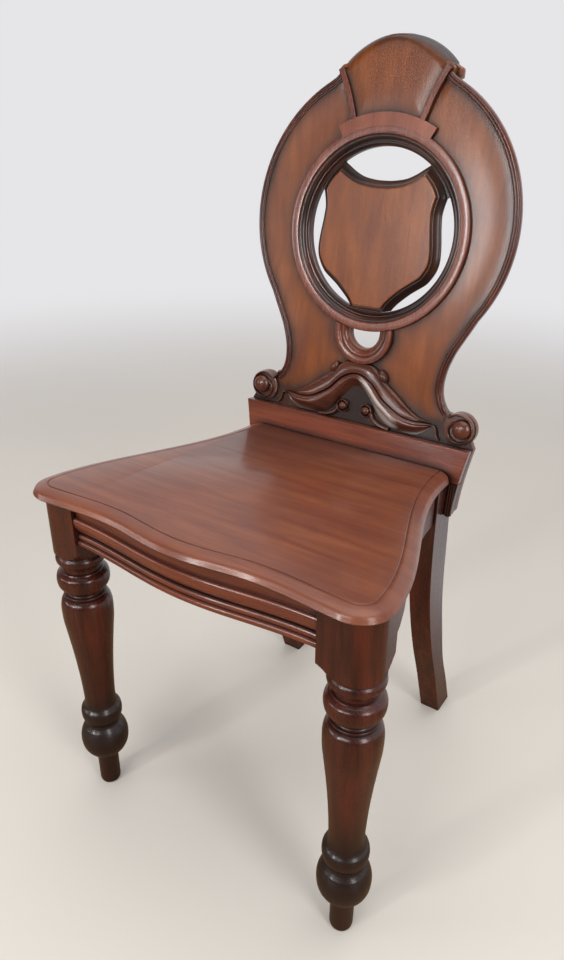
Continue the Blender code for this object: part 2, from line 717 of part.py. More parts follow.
def seat_and_frame():
    seat = seat_board()
    legs = {side: front_leg(f"front_leg_{word}", side) for word, side in SIDES}
    rear_legs = {side: rear_leg(f"rear_leg_{word}", side) for word, side in SIDES}
    front = front_rail()
    rear = rear_rail()
    tenon_z = -SEAT_THICKNESS - TENON_DROP
    front_tenon_y = (FRONT_RAIL_BACK - FRONT_RAIL_END_REACH) / 2
    rear_tenon_y = REAR_RAIL_REAR - REAR_RAIL_THICKNESS / 2
    for word, side in SIDES:
        rail = side_rail(f"side_rail_{word}", side)
        block_x = side * (LEG_HALF_SPREAD - BLOCK_HALF)
        front_x = side * (
            seat_half_width(BLOCK_HALF) - SIDE_RAIL_INSET - SIDE_RAIL_THICKNESS / 2
        )
        rear_x = side * (
            seat_half_width(REAR_LEG_SETBACK) - SIDE_RAIL_INSET - SIDE_RAIL_THICKNESS / 2
        )
        tenon_joint(front, legs[side], (block_x, front_tenon_y, tenon_z), (side, 0), seat_frame)
        front_y, rear_y = seat_depth(BLOCK_HALF, tenon_z), seat_depth(REAR_LEG_SETBACK, tenon_z)
        tenon_joint(rail, legs[side], (front_x, front_y, tenon_z), (0, -1), seat_frame)
        tenon_joint(rail, rear_legs[side], (rear_x, rear_y, tenon_z), (0, 1), seat_frame)
        inside = side * REAR_LEG_INSIDE
        tenon_joint(rear, rear_legs[side], (inside, rear_tenon_y, tenon_z), (side, 0), seat_frame)
        corners = (
            ("front", (LEG_HALF_SPREAD - BLOCK_HALF - GLUE_GAP, FRONT_RAIL_BACK + GLUE_GAP), True),
            ("rear", (REAR_LEG_INSIDE - GLUE_GAP, REAR_RAIL_FRONT - GLUE_GAP), False),
        )
        for place, corner, toward_rear in corners:
            head, tip = glue_block(f"glue_block_{place}_{word}", corner, side, toward_rear)
            screw_hole(seat, head, tip, seat_frame)
            screw(f"seat_screw_{place}_{word}", head, tip, seat_frame)
    return rear, rear_legs


def crest_edge():
    """The crest's top, right half: round in the middle, then nearly straight to the ear."""
    shares = ((-0.275, -0.115), (0, 0), (0.275, -0.115), (0.46, -0.332), (0.629, -0.582),
              (0.819, -0.872))
    return smooth_curve(scaled(shares, EAR_HALF_WIDTH, EAR_DROP, CREST_TOP), 2)[2:]


def crest_height(out):
    """Height of the crest's top edge at a distance from the middle."""
    edge = crest_edge()
    for (x0, y0), (x1, y1) in zip(edge, edge[1:]):
        if x0 <= out <= x1:
            return y0 + (y1 - y0) * (out - x0) / (x1 - x0)
    return edge[-1][1]


def ear_edge():
    """The small ear where each rib meets the outline, right half."""
    shares = ((-0.71, 0.30), (-0.31, 0.16), (0, -0.25), (0, -1.0))
    return [(EAR_HALF_WIDTH + EAR_HEIGHT * x, EAR_TOP + EAR_HEIGHT * y) for x, y in shares]


def balloon_edge():
    return arc((0, BALLOON_CENTRE), BALLOON_RADIUS, 63, -34, 18)


def waist_edge():
    """The hollow of the waist, between the balloon and the volute's lobe."""
    shares = (
        (1.203, 1.855), (1.092, 1.539), (1.050, 1.382), (1.016, 1.211), (1.0, 1.03),
        (1.005, 0.882), (1.028, 0.763), (1.068, 0.66),
    )
    return smooth_curve(scaled(shares, WAIST_HALF_WIDTH, WAIST_HEIGHT), 2)


def plinth_side(v):
    """Half width of the plinth and of the board's foot, which hollows inward as it goes down."""
    share = min(max((PLINTH_TOP - v) / (PLINTH_TOP + BOARD_FOOT), 0), 1)
    return PLINTH_HALF_WIDTH - PLINTH_SPREAD * sin(share * pi / 2)


def board_outline():
    lobe = arc((VOLUTE_OUT, VOLUTE_UP), LOBE_RADIUS, 128, -38, 12)
    heights = [PLINTH_TOP - (PLINTH_TOP + BOARD_FOOT) * i / 5 for i in range(5)]
    side = [(plinth_side(v), v) for v in heights]
    round_foot = DROP_WIDTH * 0.9
    centre = (BOARD_FOOT_HALF_WIDTH - round_foot, round_foot - BOARD_FOOT)
    foot = arc(centre, round_foot, 0, -90, 3)
    right = crest_edge() + ear_edge() + balloon_edge() + waist_edge() + lobe + side + foot
    return both_sides(right)


def crest_backing():
    """The block behind the crest, flatter in its sweep than the board and hollowed at its foot."""
    foot_up = RING_CENTRE + LABEL_RADIUS
    low = [(EAR_HALF_WIDTH, EAR_TOP - EAR_HEIGHT), (RIB_FOOT_HALF_SPREAD, foot_up)]
    middle = (0, foot_up + BACKING_HOLLOW)
    front = BOARD_THICKNESS + GLUE_GAP
    sections = []
    for depth, inset in ((front, BACKING_INSET), (front + BACKING_THICKNESS, 0)):
        radius = BACKING_RADIUS - inset
        top = arc((0, CREST_TOP + BACKING_RISE - BACKING_RADIUS), radius, 90, 42.5, 8)
        outline = both_sides([*top, *low, middle])
        sections.append([(x, depth, y) for x, y in outline])
    add_object("crest_backing", loft_mesh(sections), FRAME_WOOD, back_frame)


def rib_line(side_shift):
    """The outer or inner edge of a crest rib, from the label up to the ear."""
    foot_up = RING_CENTRE + sqrt(LABEL_RADIUS ** 2 - RIB_FOOT_HALF_SPREAD ** 2)
    run = EAR_HALF_WIDTH - RIB_TOP_INSET - RIB_FOOT_HALF_SPREAD
    rise = EAR_TOP - RIB_TOP_INSET / 2 - foot_up
    shares = ((0, 0), (0.16, 0.20), (0.33, 0.41), (0.53, 0.61), (0.75, 0.80), (1.0, 1.0))
    line = [(RIB_FOOT_HALF_SPREAD + run * x, foot_up + rise * y) for x, y in shares]
    return offset_line(line, side_shift)


def field_outline():
    """The sunk field: inside the rim, round the ring and under the crest's pieces."""
    rim = offset_line(balloon_edge() + waist_edge(), RIM_WIDTH)
    rib = rib_line(RIB_WIDTH / 2 + DOME_RIM)
    rib = [point for point in rib if point[1] < EAR_TOP - RIM_WIDTH - EAR_HEIGHT / 2]
    angle = 90 - LABEL_HALF_ANGLE - 1
    outside = LABEL_RADIUS + DOME_RIM
    start = arc((0, RING_CENTRE), RING_RADIUS + GLUE_GAP, 90, angle, 6)
    sector = arc((0, RING_CENTRE), outside, angle, angle + 1, 1)
    right = start + sector + rib + rim + [(rim[-1][0], PLINTH_TOP)]
    return both_sides(right)


def collar_hole(radius, ring_radius):
    """The D opening: a circle cut off by the ring's round edge."""
    half = radius * 0.98
    bottom = arc((0, COLLAR_CENTRE), radius, -180, 0, 14)
    across = [half * (1 - i / 4) for i in range(1, 8)]
    top = [(x, RING_CENTRE - sqrt(ring_radius ** 2 - x * x)) for x in across]
    return bottom + top


def back_board():
    ring_hole = arc((0, RING_CENTRE), RING_SEAT_RADIUS, 0, 360, RING_SIDES)[:-1]
    d_hole = collar_hole(COLLAR_OPENING_RADIUS, RING_RADIUS + GLUE_GAP)
    board = standing_plate(
        "back_board", board_outline(), 0, BOARD_THICKNESS, PANEL_WOOD, (ring_hole, d_hole)
    )
    field = plate_mesh(field_outline(), -FIELD_DEPTH, CUT_OVERRUN, STANDING)
    cut(board, field, back_frame)
    return board


def ring_moulding():
    band_inner = RING_RADIUS - RING_BAND
    sleeve = RING_SEAT_RADIUS - GLUE_GAP
    seat = FIELD_DEPTH - GLUE_GAP
    profile = (
        (band_inner, RING_PROUD),
        (RING_RADIUS - RING_PROUD / 2, RING_PROUD),
        (RING_RADIUS, RING_PROUD / 2),
        (RING_RADIUS, -seat),
        (sleeve, -seat),
        (sleeve, -RING_DEPTH),
        (RING_OPENING_RADIUS, -RING_DEPTH),
        (RING_OPENING_RADIUS, -0.72 * BOARD_THICKNESS),
        (0.2 * band_inner + 0.8 * RING_OPENING_RADIUS, -0.5 * BOARD_THICKNESS),
        (0.6 * band_inner + 0.4 * RING_OPENING_RADIUS, -0.2 * BOARD_THICKNESS),
        (band_inner, RING_PROUD / 3),
    )
    mesh = turned_mesh(profile, RING_SIDES, closed=True)
    mesh.transform(Matrix.Translation((0, 0, RING_CENTRE)) @ STANDING)
    return add_object("ring_moulding", mesh, CARVED_WOOD, back_frame)


def shield_outline(spread):
    """The shield's outline, spread outwards by a distance, but never past the ring's opening."""
    shares = (
        (0, 0.892), (0.17, 0.895), (0.41, 0.915), (0.596, 0.953), (0.752, 1.0), (0.894, 0.929),
        (0.976, 0.861), (0.949, 0.807), (0.929, 0.739), (0.939, 0.671), (0.957, 0.603),
        (0.982, 0.529), (1.0, 0.447), (0.999, 0.393), (0.972, 0.346), (0.915, 0.298),
        (0.855, 0.264), (0.738, 0.224), (0.624, 0.185), (0.511, 0.139), (0.397, 0.088),
        (0.312, 0.041), (0.258, 0),
    )
    outline = both_sides(scaled(shares, SHIELD_HALF_WIDTH, SHIELD_HEIGHT, SHIELD_FOOT))
    outline = offset_line([outline[-1], *outline, outline[0]], -spread)[1:-1]
    reach = RING_OPENING_RADIUS - GLUE_GAP
    held = []
    for x, y in outline:
        share = min(1, reach / sqrt(x ** 2 + (y - RING_CENTRE) ** 2))
        held.append((x * share, RING_CENTRE + (y - RING_CENTRE) * share))
    return held


def shield_arms():
    """The arms that carry the shield's shoulders, and its foot, out to the ring."""
    reach = RING_OPENING_RADIUS - GLUE_GAP
    inner = SHIELD_HALF_WIDTH * 0.7
    arms = []
    for middle, half in ((41, 13), (139, 13), (270, 10)):
        outer = arc((0, RING_CENTRE), reach, middle - half, middle + half, 6)
        ends = arc((0, RING_CENTRE), inner, middle + half, middle - half, 1)
        arms.append(outer + ends)
    return arms


def shield_panel():
    """A flat face, a small step round it and a hollow that spreads out to the rear."""
    width, depth = SHIELD_SPREAD - SHIELD_STEP_WIDTH, BOARD_THICKNESS - SHIELD_STEP_DEPTH
    profile = (
        (0, -SHIELD_PROUD),
        (0.1 * SHIELD_SPREAD, -0.6 * SHIELD_PROUD),
        (0.1 * SHIELD_SPREAD, SHIELD_STEP_DEPTH),
        (SHIELD_STEP_WIDTH, SHIELD_STEP_DEPTH + 0.1 * SHIELD_PROUD),
        (SHIELD_STEP_WIDTH + 0.30 * width, SHIELD_STEP_DEPTH + 0.36 * depth),
        (SHIELD_STEP_WIDTH + 0.80 * width, SHIELD_STEP_DEPTH + 0.68 * depth),
        (SHIELD_SPREAD, SHIELD_STEP_DEPTH + 0.77 * depth),
        (SHIELD_SPREAD, BOARD_THICKNESS),
    )
    sections = [[(x, back, y) for x, y in shield_outline(spread)] for spread, back in profile]
    shield = add_object("shield_panel", loft_mesh(sections), PANEL_WOOD, back_frame)
    for outline in shield_arms():
        rear = SHIELD_ARM_DEPTH + SHIELD_ARM_THICKNESS
        arm = plate_mesh(outline, -rear, -SHIELD_ARM_DEPTH, STANDING)
        boolean(shield, add_object("shield_arm", arm, None, back_frame), "UNION")
    return shield


def shield_dowels(shield, ring):
    """Three dowels that pin the shield's arms and foot into the ring."""
    depth = SHIELD_ARM_DEPTH + SHIELD_ARM_THICKNESS / 2
    for place, angle in (("right", 41), ("left", 139), ("foot", 270)):
        way = Vector((cos(radians(angle)), 0, sin(radians(angle))))
        centre = Vector((0, depth, RING_CENTRE))
        inner = centre + way * (RING_OPENING_RADIUS - SHIELD_DOWEL_LENGTH * 0.6)
        outer = centre + way * (RING_OPENING_RADIUS + SHIELD_DOWEL_LENGTH * 0.5)
        dowel = rod_mesh(SHIELD_DOWEL_RADIUS, inner, outer, SCREW_SIDES)
        add_object(f"shield_dowel_{place}", dowel, FRAME_WOOD, back_frame)
        hole = (inner - way * GLUE_GAP, outer + way * GLUE_GAP)
        for host in (shield, ring):
            mesh = rod_mesh(SHIELD_DOWEL_RADIUS + GLUE_GAP, *hole, SCREW_SIDES)
            cut(host, mesh, back_frame)


def hood_label():
    """The label over the ring, level with the ring's band."""
    first, last = 90 - LABEL_HALF_ANGLE, 90 + LABEL_HALF_ANGLE
    outer = arc((0, RING_CENTRE), LABEL_RADIUS, first, last, 14)
    inner = arc((0, RING_CENTRE), RING_RADIUS + GLUE_GAP, last, first, 14)
    standing_plate("hood_label", outer + inner, -RING_PROUD, -GLUE_GAP, CARVED_WOOD)


def crest_pieces():
    inner = rib_line(-RIB_WIDTH / 2)
    outer = rib_line(RIB_WIDTH / 2)
    above_label = LABEL_RADIUS + GLUE_GAP
    for word, side in SIDES:
        outline = [(side * x, y) for x, y in outer + inner[::-1]]
        rib = standing_plate(f"crest_rib_{word}", outline, -RIB_PROUD, -GLUE_GAP, CARVED_WOOD)
        label_edge = arc((0, RING_CENTRE), above_label, 0, 360, RING_SIDES)[:-1]
        cut(rib, plate_mesh(label_edge, -CUT_OVERRUN, RIB_PROUD + CUT_OVERRUN, STANDING), back_frame)
    top = offset_line(crest_edge(), CREST_BEAD)
    sides = [p for p in rib_line(-RIB_WIDTH / 2 - GLUE_GAP)
             if p[0] ** 2 + (p[1] - RING_CENTRE) ** 2 > above_label ** 2]
    sides = [p for p in sides if p[1] < crest_height(p[0]) - CREST_BEAD]
    top = [(0, CREST_TOP - CREST_BEAD)] + [p for p in top[1:] if p[0] < sides[-1][0]]
    foot = arc((0, RING_CENTRE), above_label + GLUE_GAP, 60, 90, 9)
    foot = [p for p in foot if p[0] < sides[0][0]]
    right = top + sides[::-1] + foot
    standing_plate(
        "crest_panel", both_sides(right), -CREST_PANEL_PROUD, -GLUE_GAP, PANEL_WOOD
    )


def collar_moulding():
    ring = RING_RADIUS + GLUE_GAP
    outer = collar_hole(COLLAR_RADIUS, ring)
    inner = collar_hole(COLLAR_OPENING_RADIUS, ring)
    count = 15
    outline = outer[:count] + inner[:count][::-1]
    collar = standing_plate(
        "collar_moulding", outline, -COLLAR_PROUD, FIELD_DEPTH - GLUE_GAP, CARVED_WOOD
    )
    clear = arc((0, RING_CENTRE), ring, 0, 360, RING_SIDES)[:-1]
    cut(collar, plate_mesh(clear, -FIELD_DEPTH - CUT_OVERRUN, COLLAR_RADIUS, STANDING), back_frame)
    return collar


def arch_carving():
    """The ogee arch: a broad moulded band that rises in the middle and runs out to the volutes."""
    outer_shares = (
        (0, 1.0), (0.09, 0.995), (0.17, 0.95), (0.25, 0.84), (0.43, 0.64), (0.55, 0.50),
        (0.67, 0.37), (0.80, 0.28), (0.96, 0.235), (1.0, 0.16),
    )
    inner_shares = ((0.42, 0), (0.30, 0.16), (0.19, 0.335), (0.115, 0.49), (0, 0.57))
    height = ARCH_HEIGHT - ARCH_FOOT
    outer = smooth_curve(scaled(outer_shares, ARCH_HALF_SPAN, height, ARCH_FOOT), 2)
    inner = smooth_curve(scaled(inner_shares, ARCH_HALF_SPAN, height, ARCH_FOOT), 2)
    right = outer + [(ARCH_HALF_SPAN * 0.98, ARCH_FOOT)] + inner
    rear = FIELD_DEPTH - GLUE_GAP
    outline = both_sides(right)
    carving = standing_plate("arch_carving", outline, -ARCH_PROUD, rear, CARVED_WOOD)
    soften(carving, ARCH_EDGE, 1)
    collar = arc((0, COLLAR_CENTRE), COLLAR_RADIUS + GLUE_GAP, 0, 360, RING_SIDES)[:-1]
    scoop = plate_mesh(collar, -FIELD_DEPTH - CUT_OVERRUN, ARCH_PROUD + CUT_OVERRUN, STANDING)
    cut(carving, scoop, back_frame)
    return carving


def dome_mesh(radius, proud, sides):
    """A low turned boss, flat behind and domed in front."""
    turns = [radians(angle) for angle in (30, 60, 90)]
    crown = proud - DOME_RIM
    dome = [(radius * sin(turn), DOME_RIM + crown * cos(turn)) for turn in turns]
    return turned_mesh([(0, proud), *dome, (radius, 0), (0, 0)], sides)


def boss(name, out, up, radius):
    """A carved bead that stands on the sunk field, a little proud of the board's face."""
    rear = FIELD_DEPTH - GLUE_GAP
    mesh = dome_mesh(radius, rear + ARCH_PROUD / 2, SMALL_SIDES)
    mesh.transform(Matrix.Translation((out, rear, up)) @ STANDING)
    return add_object(name, mesh, CARVED_WOOD, back_frame)


def volute(name, side):
    """A scroll end: a flat rounded disc with a ball for its eye."""
    thickness = VOLUTE_PROUD + VOLUTE_EYE_PROUD / 3
    profile = (
        (0, VOLUTE_EYE_PROUD),
        (0.55 * VOLUTE_EYE_RADIUS, 0.88 * VOLUTE_EYE_PROUD),
        (0.90 * VOLUTE_EYE_RADIUS, 0.62 * VOLUTE_EYE_PROUD),
        (VOLUTE_EYE_RADIUS, 0.30 * VOLUTE_EYE_PROUD),
        (0.62 * VOLUTE_RADIUS, 0.45 * thickness),
        (0.75 * VOLUTE_RADIUS, thickness),
        (0.92 * VOLUTE_RADIUS, thickness),
        (VOLUTE_RADIUS, 0.55 * thickness),
        (VOLUTE_RADIUS, 0),
        (0, 0),
    )
    mesh = turned_mesh(profile, LEG_SIDES)
    mesh.transform(Matrix.Translation((side * VOLUTE_OUT, -GLUE_GAP, VOLUTE_UP)) @ STANDING)
    made = add_object(name, mesh, CARVED_WOOD, back_frame)
    low = (-SEAT_HALF_WIDTH, -VOLUTE_OUT, PLINTH_TOP - VOLUTE_RADIUS)
    high = (SEAT_HALF_WIDTH, VOLUTE_OUT, PLINTH_TOP + GLUE_GAP)
    cut(made, box_mesh(low, high), back_frame)
    return made


# The plinth stands on the heads of the rear legs and on the rear rail.
PLINTH_FOOT = (SEAT_HEIGHT - seat_under(PLINTH_FOOT_LINE)) / cos(BACK_RAKE) - GLUE_GAP


def plinth_bar():
    heights = [PLINTH_TOP - (PLINTH_TOP + PLINTH_FOOT) * i / 4 for i in range(5)]
    right = [(plinth_side(v), v) for v in heights]
    return standing_plate("plinth_bar", both_sides(right), -PLINTH_THICKNESS, -GLUE_GAP, FRAME_WOOD)


def reeded_drop(name, side):
    """A short reeded block under each end of the plinth, outside the head of the rear leg."""
    inner = REAR_LEG_HALF_WIDTH + GLUE_GAP
    top = -PLINTH_FOOT - GLUE_GAP
    foot = GLUE_GAP - BOARD_FOOT
    radius = (BOARD_FOOT_HALF_WIDTH - inner) / 2
    outer = [(plinth_side(v), v) for v in (top, (top + foot) / 2, foot + radius)]
    centre = (inner + (plinth_side(foot + radius) - inner) / 2, foot + radius)
    round_foot = arc(centre, (plinth_side(foot + radius) - inner) / 2, 0, -180, 6)
    outline = [(side * x, y) for x, y in [(inner, top), *outer[:-1], *round_foot]]
    drop = standing_plate(name, outline, -PLINTH_THICKNESS, -GLUE_GAP, CARVED_WOOD)
    groove_x = side * (inner + radius)
    low = (groove_x - DROP_REED / 2, -PLINTH_THICKNESS - CUT_OVERRUN, foot + 2 * radius)
    high = (groove_x + DROP_REED / 2, DROP_REED - PLINTH_THICKNESS, top + CUT_OVERRUN)
    cut(drop, box_mesh(low, high), back_frame)
    return drop


def back_screws(board, rail, rear_legs):
    """Screws from behind: two into the rear rail and one into the head of each rear leg."""
    rail_up = -(PLINTH_FOOT + BOARD_FOOT) / 2
    leg_out = REAR_LEG_HALF_WIDTH - REAR_LEG_WIDTH / 2 + TENON_THICKNESS / 4
    leg_up = -(BOARD_FOOT - 2 * SCREW_HEAD_RADIUS)
    places = [(f"rail_{word}", side * REAR_LEG_INSIDE / 2, rail_up, rail) for word, side in SIDES]
    places += [(f"leg_{word}", side * leg_out, leg_up, rear_legs[side]) for word, side in SIDES]
    for place, out, up, host in places:
        head = (out, BOARD_THICKNESS - SCREW_SINK, up)
        tip = (out, -SCREW_BITE, up)
        cut(board, screw_hole(board, head, tip, back_frame), back_frame)
        screw_hole(host, head, tip, back_frame)
        screw(f"back_screw_{place}", head, tip, back_frame)


rear, rear_legs = seat_and_frame()
board = back_board()
ring = ring_moulding()
shield = shield_panel()
shield_dowels(shield, ring)
hood_label()
crest_pieces()
crest_backing()
collar_moulding()
arch_carving()
plinth_bar()
for word, side in SIDES:
    boss(f"scroll_bud_{word}", side * BUD_OUT, BUD_UP, BUD_RADIUS)
    boss(f"arch_curl_{word}", side * CURL_OUT, CURL_UP, CURL_RADIUS)
    volute(f"volute_{word}", side)
    reeded_drop(f"reeded_drop_{word}", side)
back_screws(board, rear, rear_legs)
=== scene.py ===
from math import cos, pi, radians, sin, sqrt, tan

import bmesh
import bpy
import numpy as np
from mathutils import Matrix, Vector, geometry


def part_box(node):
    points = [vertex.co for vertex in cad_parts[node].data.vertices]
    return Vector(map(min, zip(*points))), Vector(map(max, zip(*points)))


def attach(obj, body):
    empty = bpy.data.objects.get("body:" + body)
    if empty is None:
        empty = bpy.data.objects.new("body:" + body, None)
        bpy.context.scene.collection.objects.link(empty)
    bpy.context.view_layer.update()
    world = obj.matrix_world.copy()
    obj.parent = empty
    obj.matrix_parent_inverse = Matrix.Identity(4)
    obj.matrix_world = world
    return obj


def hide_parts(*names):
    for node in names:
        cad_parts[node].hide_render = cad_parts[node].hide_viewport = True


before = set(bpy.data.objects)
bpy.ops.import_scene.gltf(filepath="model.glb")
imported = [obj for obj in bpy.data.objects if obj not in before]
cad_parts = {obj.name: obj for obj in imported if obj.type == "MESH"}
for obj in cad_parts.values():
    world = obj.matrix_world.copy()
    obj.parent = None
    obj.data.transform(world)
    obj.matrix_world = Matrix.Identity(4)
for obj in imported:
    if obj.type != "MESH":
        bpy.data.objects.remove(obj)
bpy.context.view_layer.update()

# The studio. The camera stands where the photograph was taken from, to the chair's left hand
# and above it, found from the four feet, the upright legs and the mirrored back.
# A pale floor and a pale surround lie about the chair, under broad soft lamps.
scene = bpy.context.scene
scene.view_settings.view_transform = "Standard"
yaw, pitch, roll = -0.5901, 0.4673, 0.0062
ahead = Vector((sin(yaw) * cos(pitch), cos(yaw) * cos(pitch), -sin(pitch)))
level = Vector((cos(yaw), -sin(yaw), 0))
above = level.cross(ahead)
camera = bpy.data.objects.new("camera", bpy.data.cameras.new("camera"))
scene.collection.objects.link(camera)
camera_place = Vector((0.4111, -0.6467, 0.8141))
camera_axes = (
    cos(roll) * level + sin(roll) * above, cos(roll) * above - sin(roll) * level, -ahead
)
camera.matrix_world = Matrix.Translation(camera_place) @ Matrix(camera_axes).transposed().to_4x4()
camera.data.sensor_fit = "VERTICAL"
camera.data.sensor_height = 36
camera.data.lens = 27.84
scene.camera = camera


def srgb(hex_code):
    """A colour written as sRGB hex, as the linear colour that a shader takes."""
    shares = [int(hex_code[i:i + 2], 16) / 255 for i in (0, 2, 4)]
    return (*(s / 12.92 if s <= 0.04045 else ((s + 0.055) / 1.055) ** 2.4 for s in shares), 1)


def add(tree, kind, inputs=(), **settings):
    """Adds a node. Its inputs go by name, or in a list by their order. Each is a value, a socket
    to link from, or a node, which links from its first output in use."""
    made = tree.nodes.new(kind)
    for name, value in settings.items():
        setattr(made, name, value)
    for name, value in inputs.items() if isinstance(inputs, dict) else enumerate(inputs):
        if isinstance(value, bpy.types.Node):
            value = next(socket for socket in value.outputs if socket.enabled)
        if isinstance(value, bpy.types.NodeSocket):
            tree.links.new(value, made.inputs[name])
        else:
            made.inputs[name].default_value = value
    return made


def bare_material(name):
    """A material with nothing in it yet, and its tree."""
    made = bpy.data.materials.new(name)
    made.use_nodes = True
    made.node_tree.nodes.clear()
    return made, made.node_tree


def soft_lamp(name, place, aim, width, height, watts):
    """Adds an oblong lamp that shines from a place towards an aim."""
    lamp = bpy.data.lights.new(name, "AREA")
    lamp.shape = "RECTANGLE"
    lamp.size, lamp.size_y, lamp.energy = width, height, watts
    made = bpy.data.objects.new(name, lamp)
    made.location = place
    made.rotation_euler = (Vector(aim) - Vector(place)).to_track_quat("-Z", "Y").to_euler()
    scene.collection.objects.link(made)


soft_lamp("window_front", (-0.12, -2.5, 1.58), (0, 0, 0.50), 1.3, 0.8, 23)
soft_lamp("doorway", (-0.70, -2.16, 0.98), (0.1, 0.16, 0.72), 0.18, 0.6, 12)
soft_lamp("window_left", (-2.0, -1.75, 0.85), (0, -0.1, 0.45), 0.8, 0.5, 8)
soft_lamp("window_right", (2.1, -0.9, 1.3), (0, 0, 0.5), 0.7, 1.4, 26)
soft_lamp("ceiling", (0.2, 0.1, 2.6), (0, 0, 0.4), 2.2, 2.2, 26)

surround = bpy.data.worlds.new("surround")
surround.use_nodes = True
tree = surround.node_tree
tree.nodes.clear()
pale = srgb("F1F0F2")
rays = add(tree, "ShaderNodeLightPath")
way = add(tree, "ShaderNodeTexCoord")
way_axes = add(tree, "ShaderNodeSeparateXYZ", {"Vector": way.outputs["Generated"]})
# What the polish mirrors is pale behind the chair and dim in front of it.
mirrored_glow = add(tree, "ShaderNodeMapRange", [way_axes.outputs["Y"], -0.2, 0.4, 0.07, 1.05])
cast = add(tree, "ShaderNodeMix", {"Factor": rays.outputs["Is Glossy Ray"], "A": 0.44, "B": mirrored_glow})
strength = add(tree, "ShaderNodeMix", {"Factor": rays.outputs["Is Camera Ray"], "A": cast, "B": 0.90})
glow = add(tree, "ShaderNodeBackground", {"Color": pale, "Strength": strength})
add(tree, "ShaderNodeOutputWorld", {"Surface": glow})
scene.world = surround

# Matt painted boards, pale and faintly mottled.
floor_paint, tree = bare_material("pale_floor")
ground = add(tree, "ShaderNodeTexCoord").outputs["Object"]
mottle = add(tree, "ShaderNodeTexNoise", {"Vector": ground, "Scale": 1.5})
tint = add(tree, "ShaderNodeMix", {
    "Factor": mottle, "A": srgb("D9D2C8"), "B": srgb("E2DCD3"),
}, data_type="RGBA")
# The camera sees a pale floor. The wood mirrors a tan one, which keeps its shadows warm.
seen = add(tree, "ShaderNodeLightPath").outputs["Is Camera Ray"]
floor_colour = add(tree, "ShaderNodeMix", {
    "Factor": seen, "A": srgb("8F7252"), "B": tint,
}, data_type="RGBA")
matt = add(tree, "ShaderNodeBsdfPrincipled", {"Base Color": floor_colour, "Roughness": 0.6})
far = add(tree, "ShaderNodeVectorMath", [ground], operation="LENGTH")
far_share = add(tree, "ShaderNodeMapRange", [far, 0.9, 3.2], interpolation_type="SMOOTHERSTEP")
# Behind the chair the wood mirrors the floor as pale as the surround.
ground_axes = add(tree, "ShaderNodeSeparateXYZ", [ground])
behind_share = add(tree, "ShaderNodeMapRange", [ground_axes.outputs["Y"], 0.12, 0.50])
behind_mirrored = add(tree, "ShaderNodeMath", [behind_share, seen], operation="SUBTRACT", use_clamp=True)
far_share = add(tree, "ShaderNodeMath", [far_share, behind_mirrored], operation="MAXIMUM")
dim = add(tree, "ShaderNodeMapRange", [behind_share, 0, 1, 0.10, 0.80])
haze_strength = add(tree, "ShaderNodeMix", {"Factor": seen, "A": dim, "B": 0.90})
haze = add(tree, "ShaderNodeEmission", {"Color": pale, "Strength": haze_strength})
faded = add(tree, "ShaderNodeMixShader", [far_share, matt, haze])
add(tree, "ShaderNodeOutputMaterial", {"Surface": faded})
floor_mesh = bpy.data.meshes.new("floor")
floor_mesh.from_pydata([(-9, -9, 0), (9, -9, 0), (9, 9, 0), (-9, 9, 0)], [], [(0, 1, 2, 3)])
floor_mesh.materials.append(floor_paint)
floor = bpy.data.objects.new("floor", floor_mesh)
scene.collection.objects.link(floor)

# The seat: one mahogany board, 16 mm thick, with its grain from side to side. Its front is
# serpentine, its sides are hollow, and a thumb-nail mould with a fine sunk line inside it is
# worked round the edge. It is screwed up from below and falls a little to the rear.
leg_line = sum(corner.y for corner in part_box("front_leg_right")) / 2
seat_height = 0.450
seat_fall = radians(3.67)
on_seat = (
    Matrix.Translation((0, leg_line, seat_height)) @ Matrix.Rotation(-seat_fall, 4, "X")
)
chair = bpy.data.collections.new("chair")
scene.collection.children.link(chair)


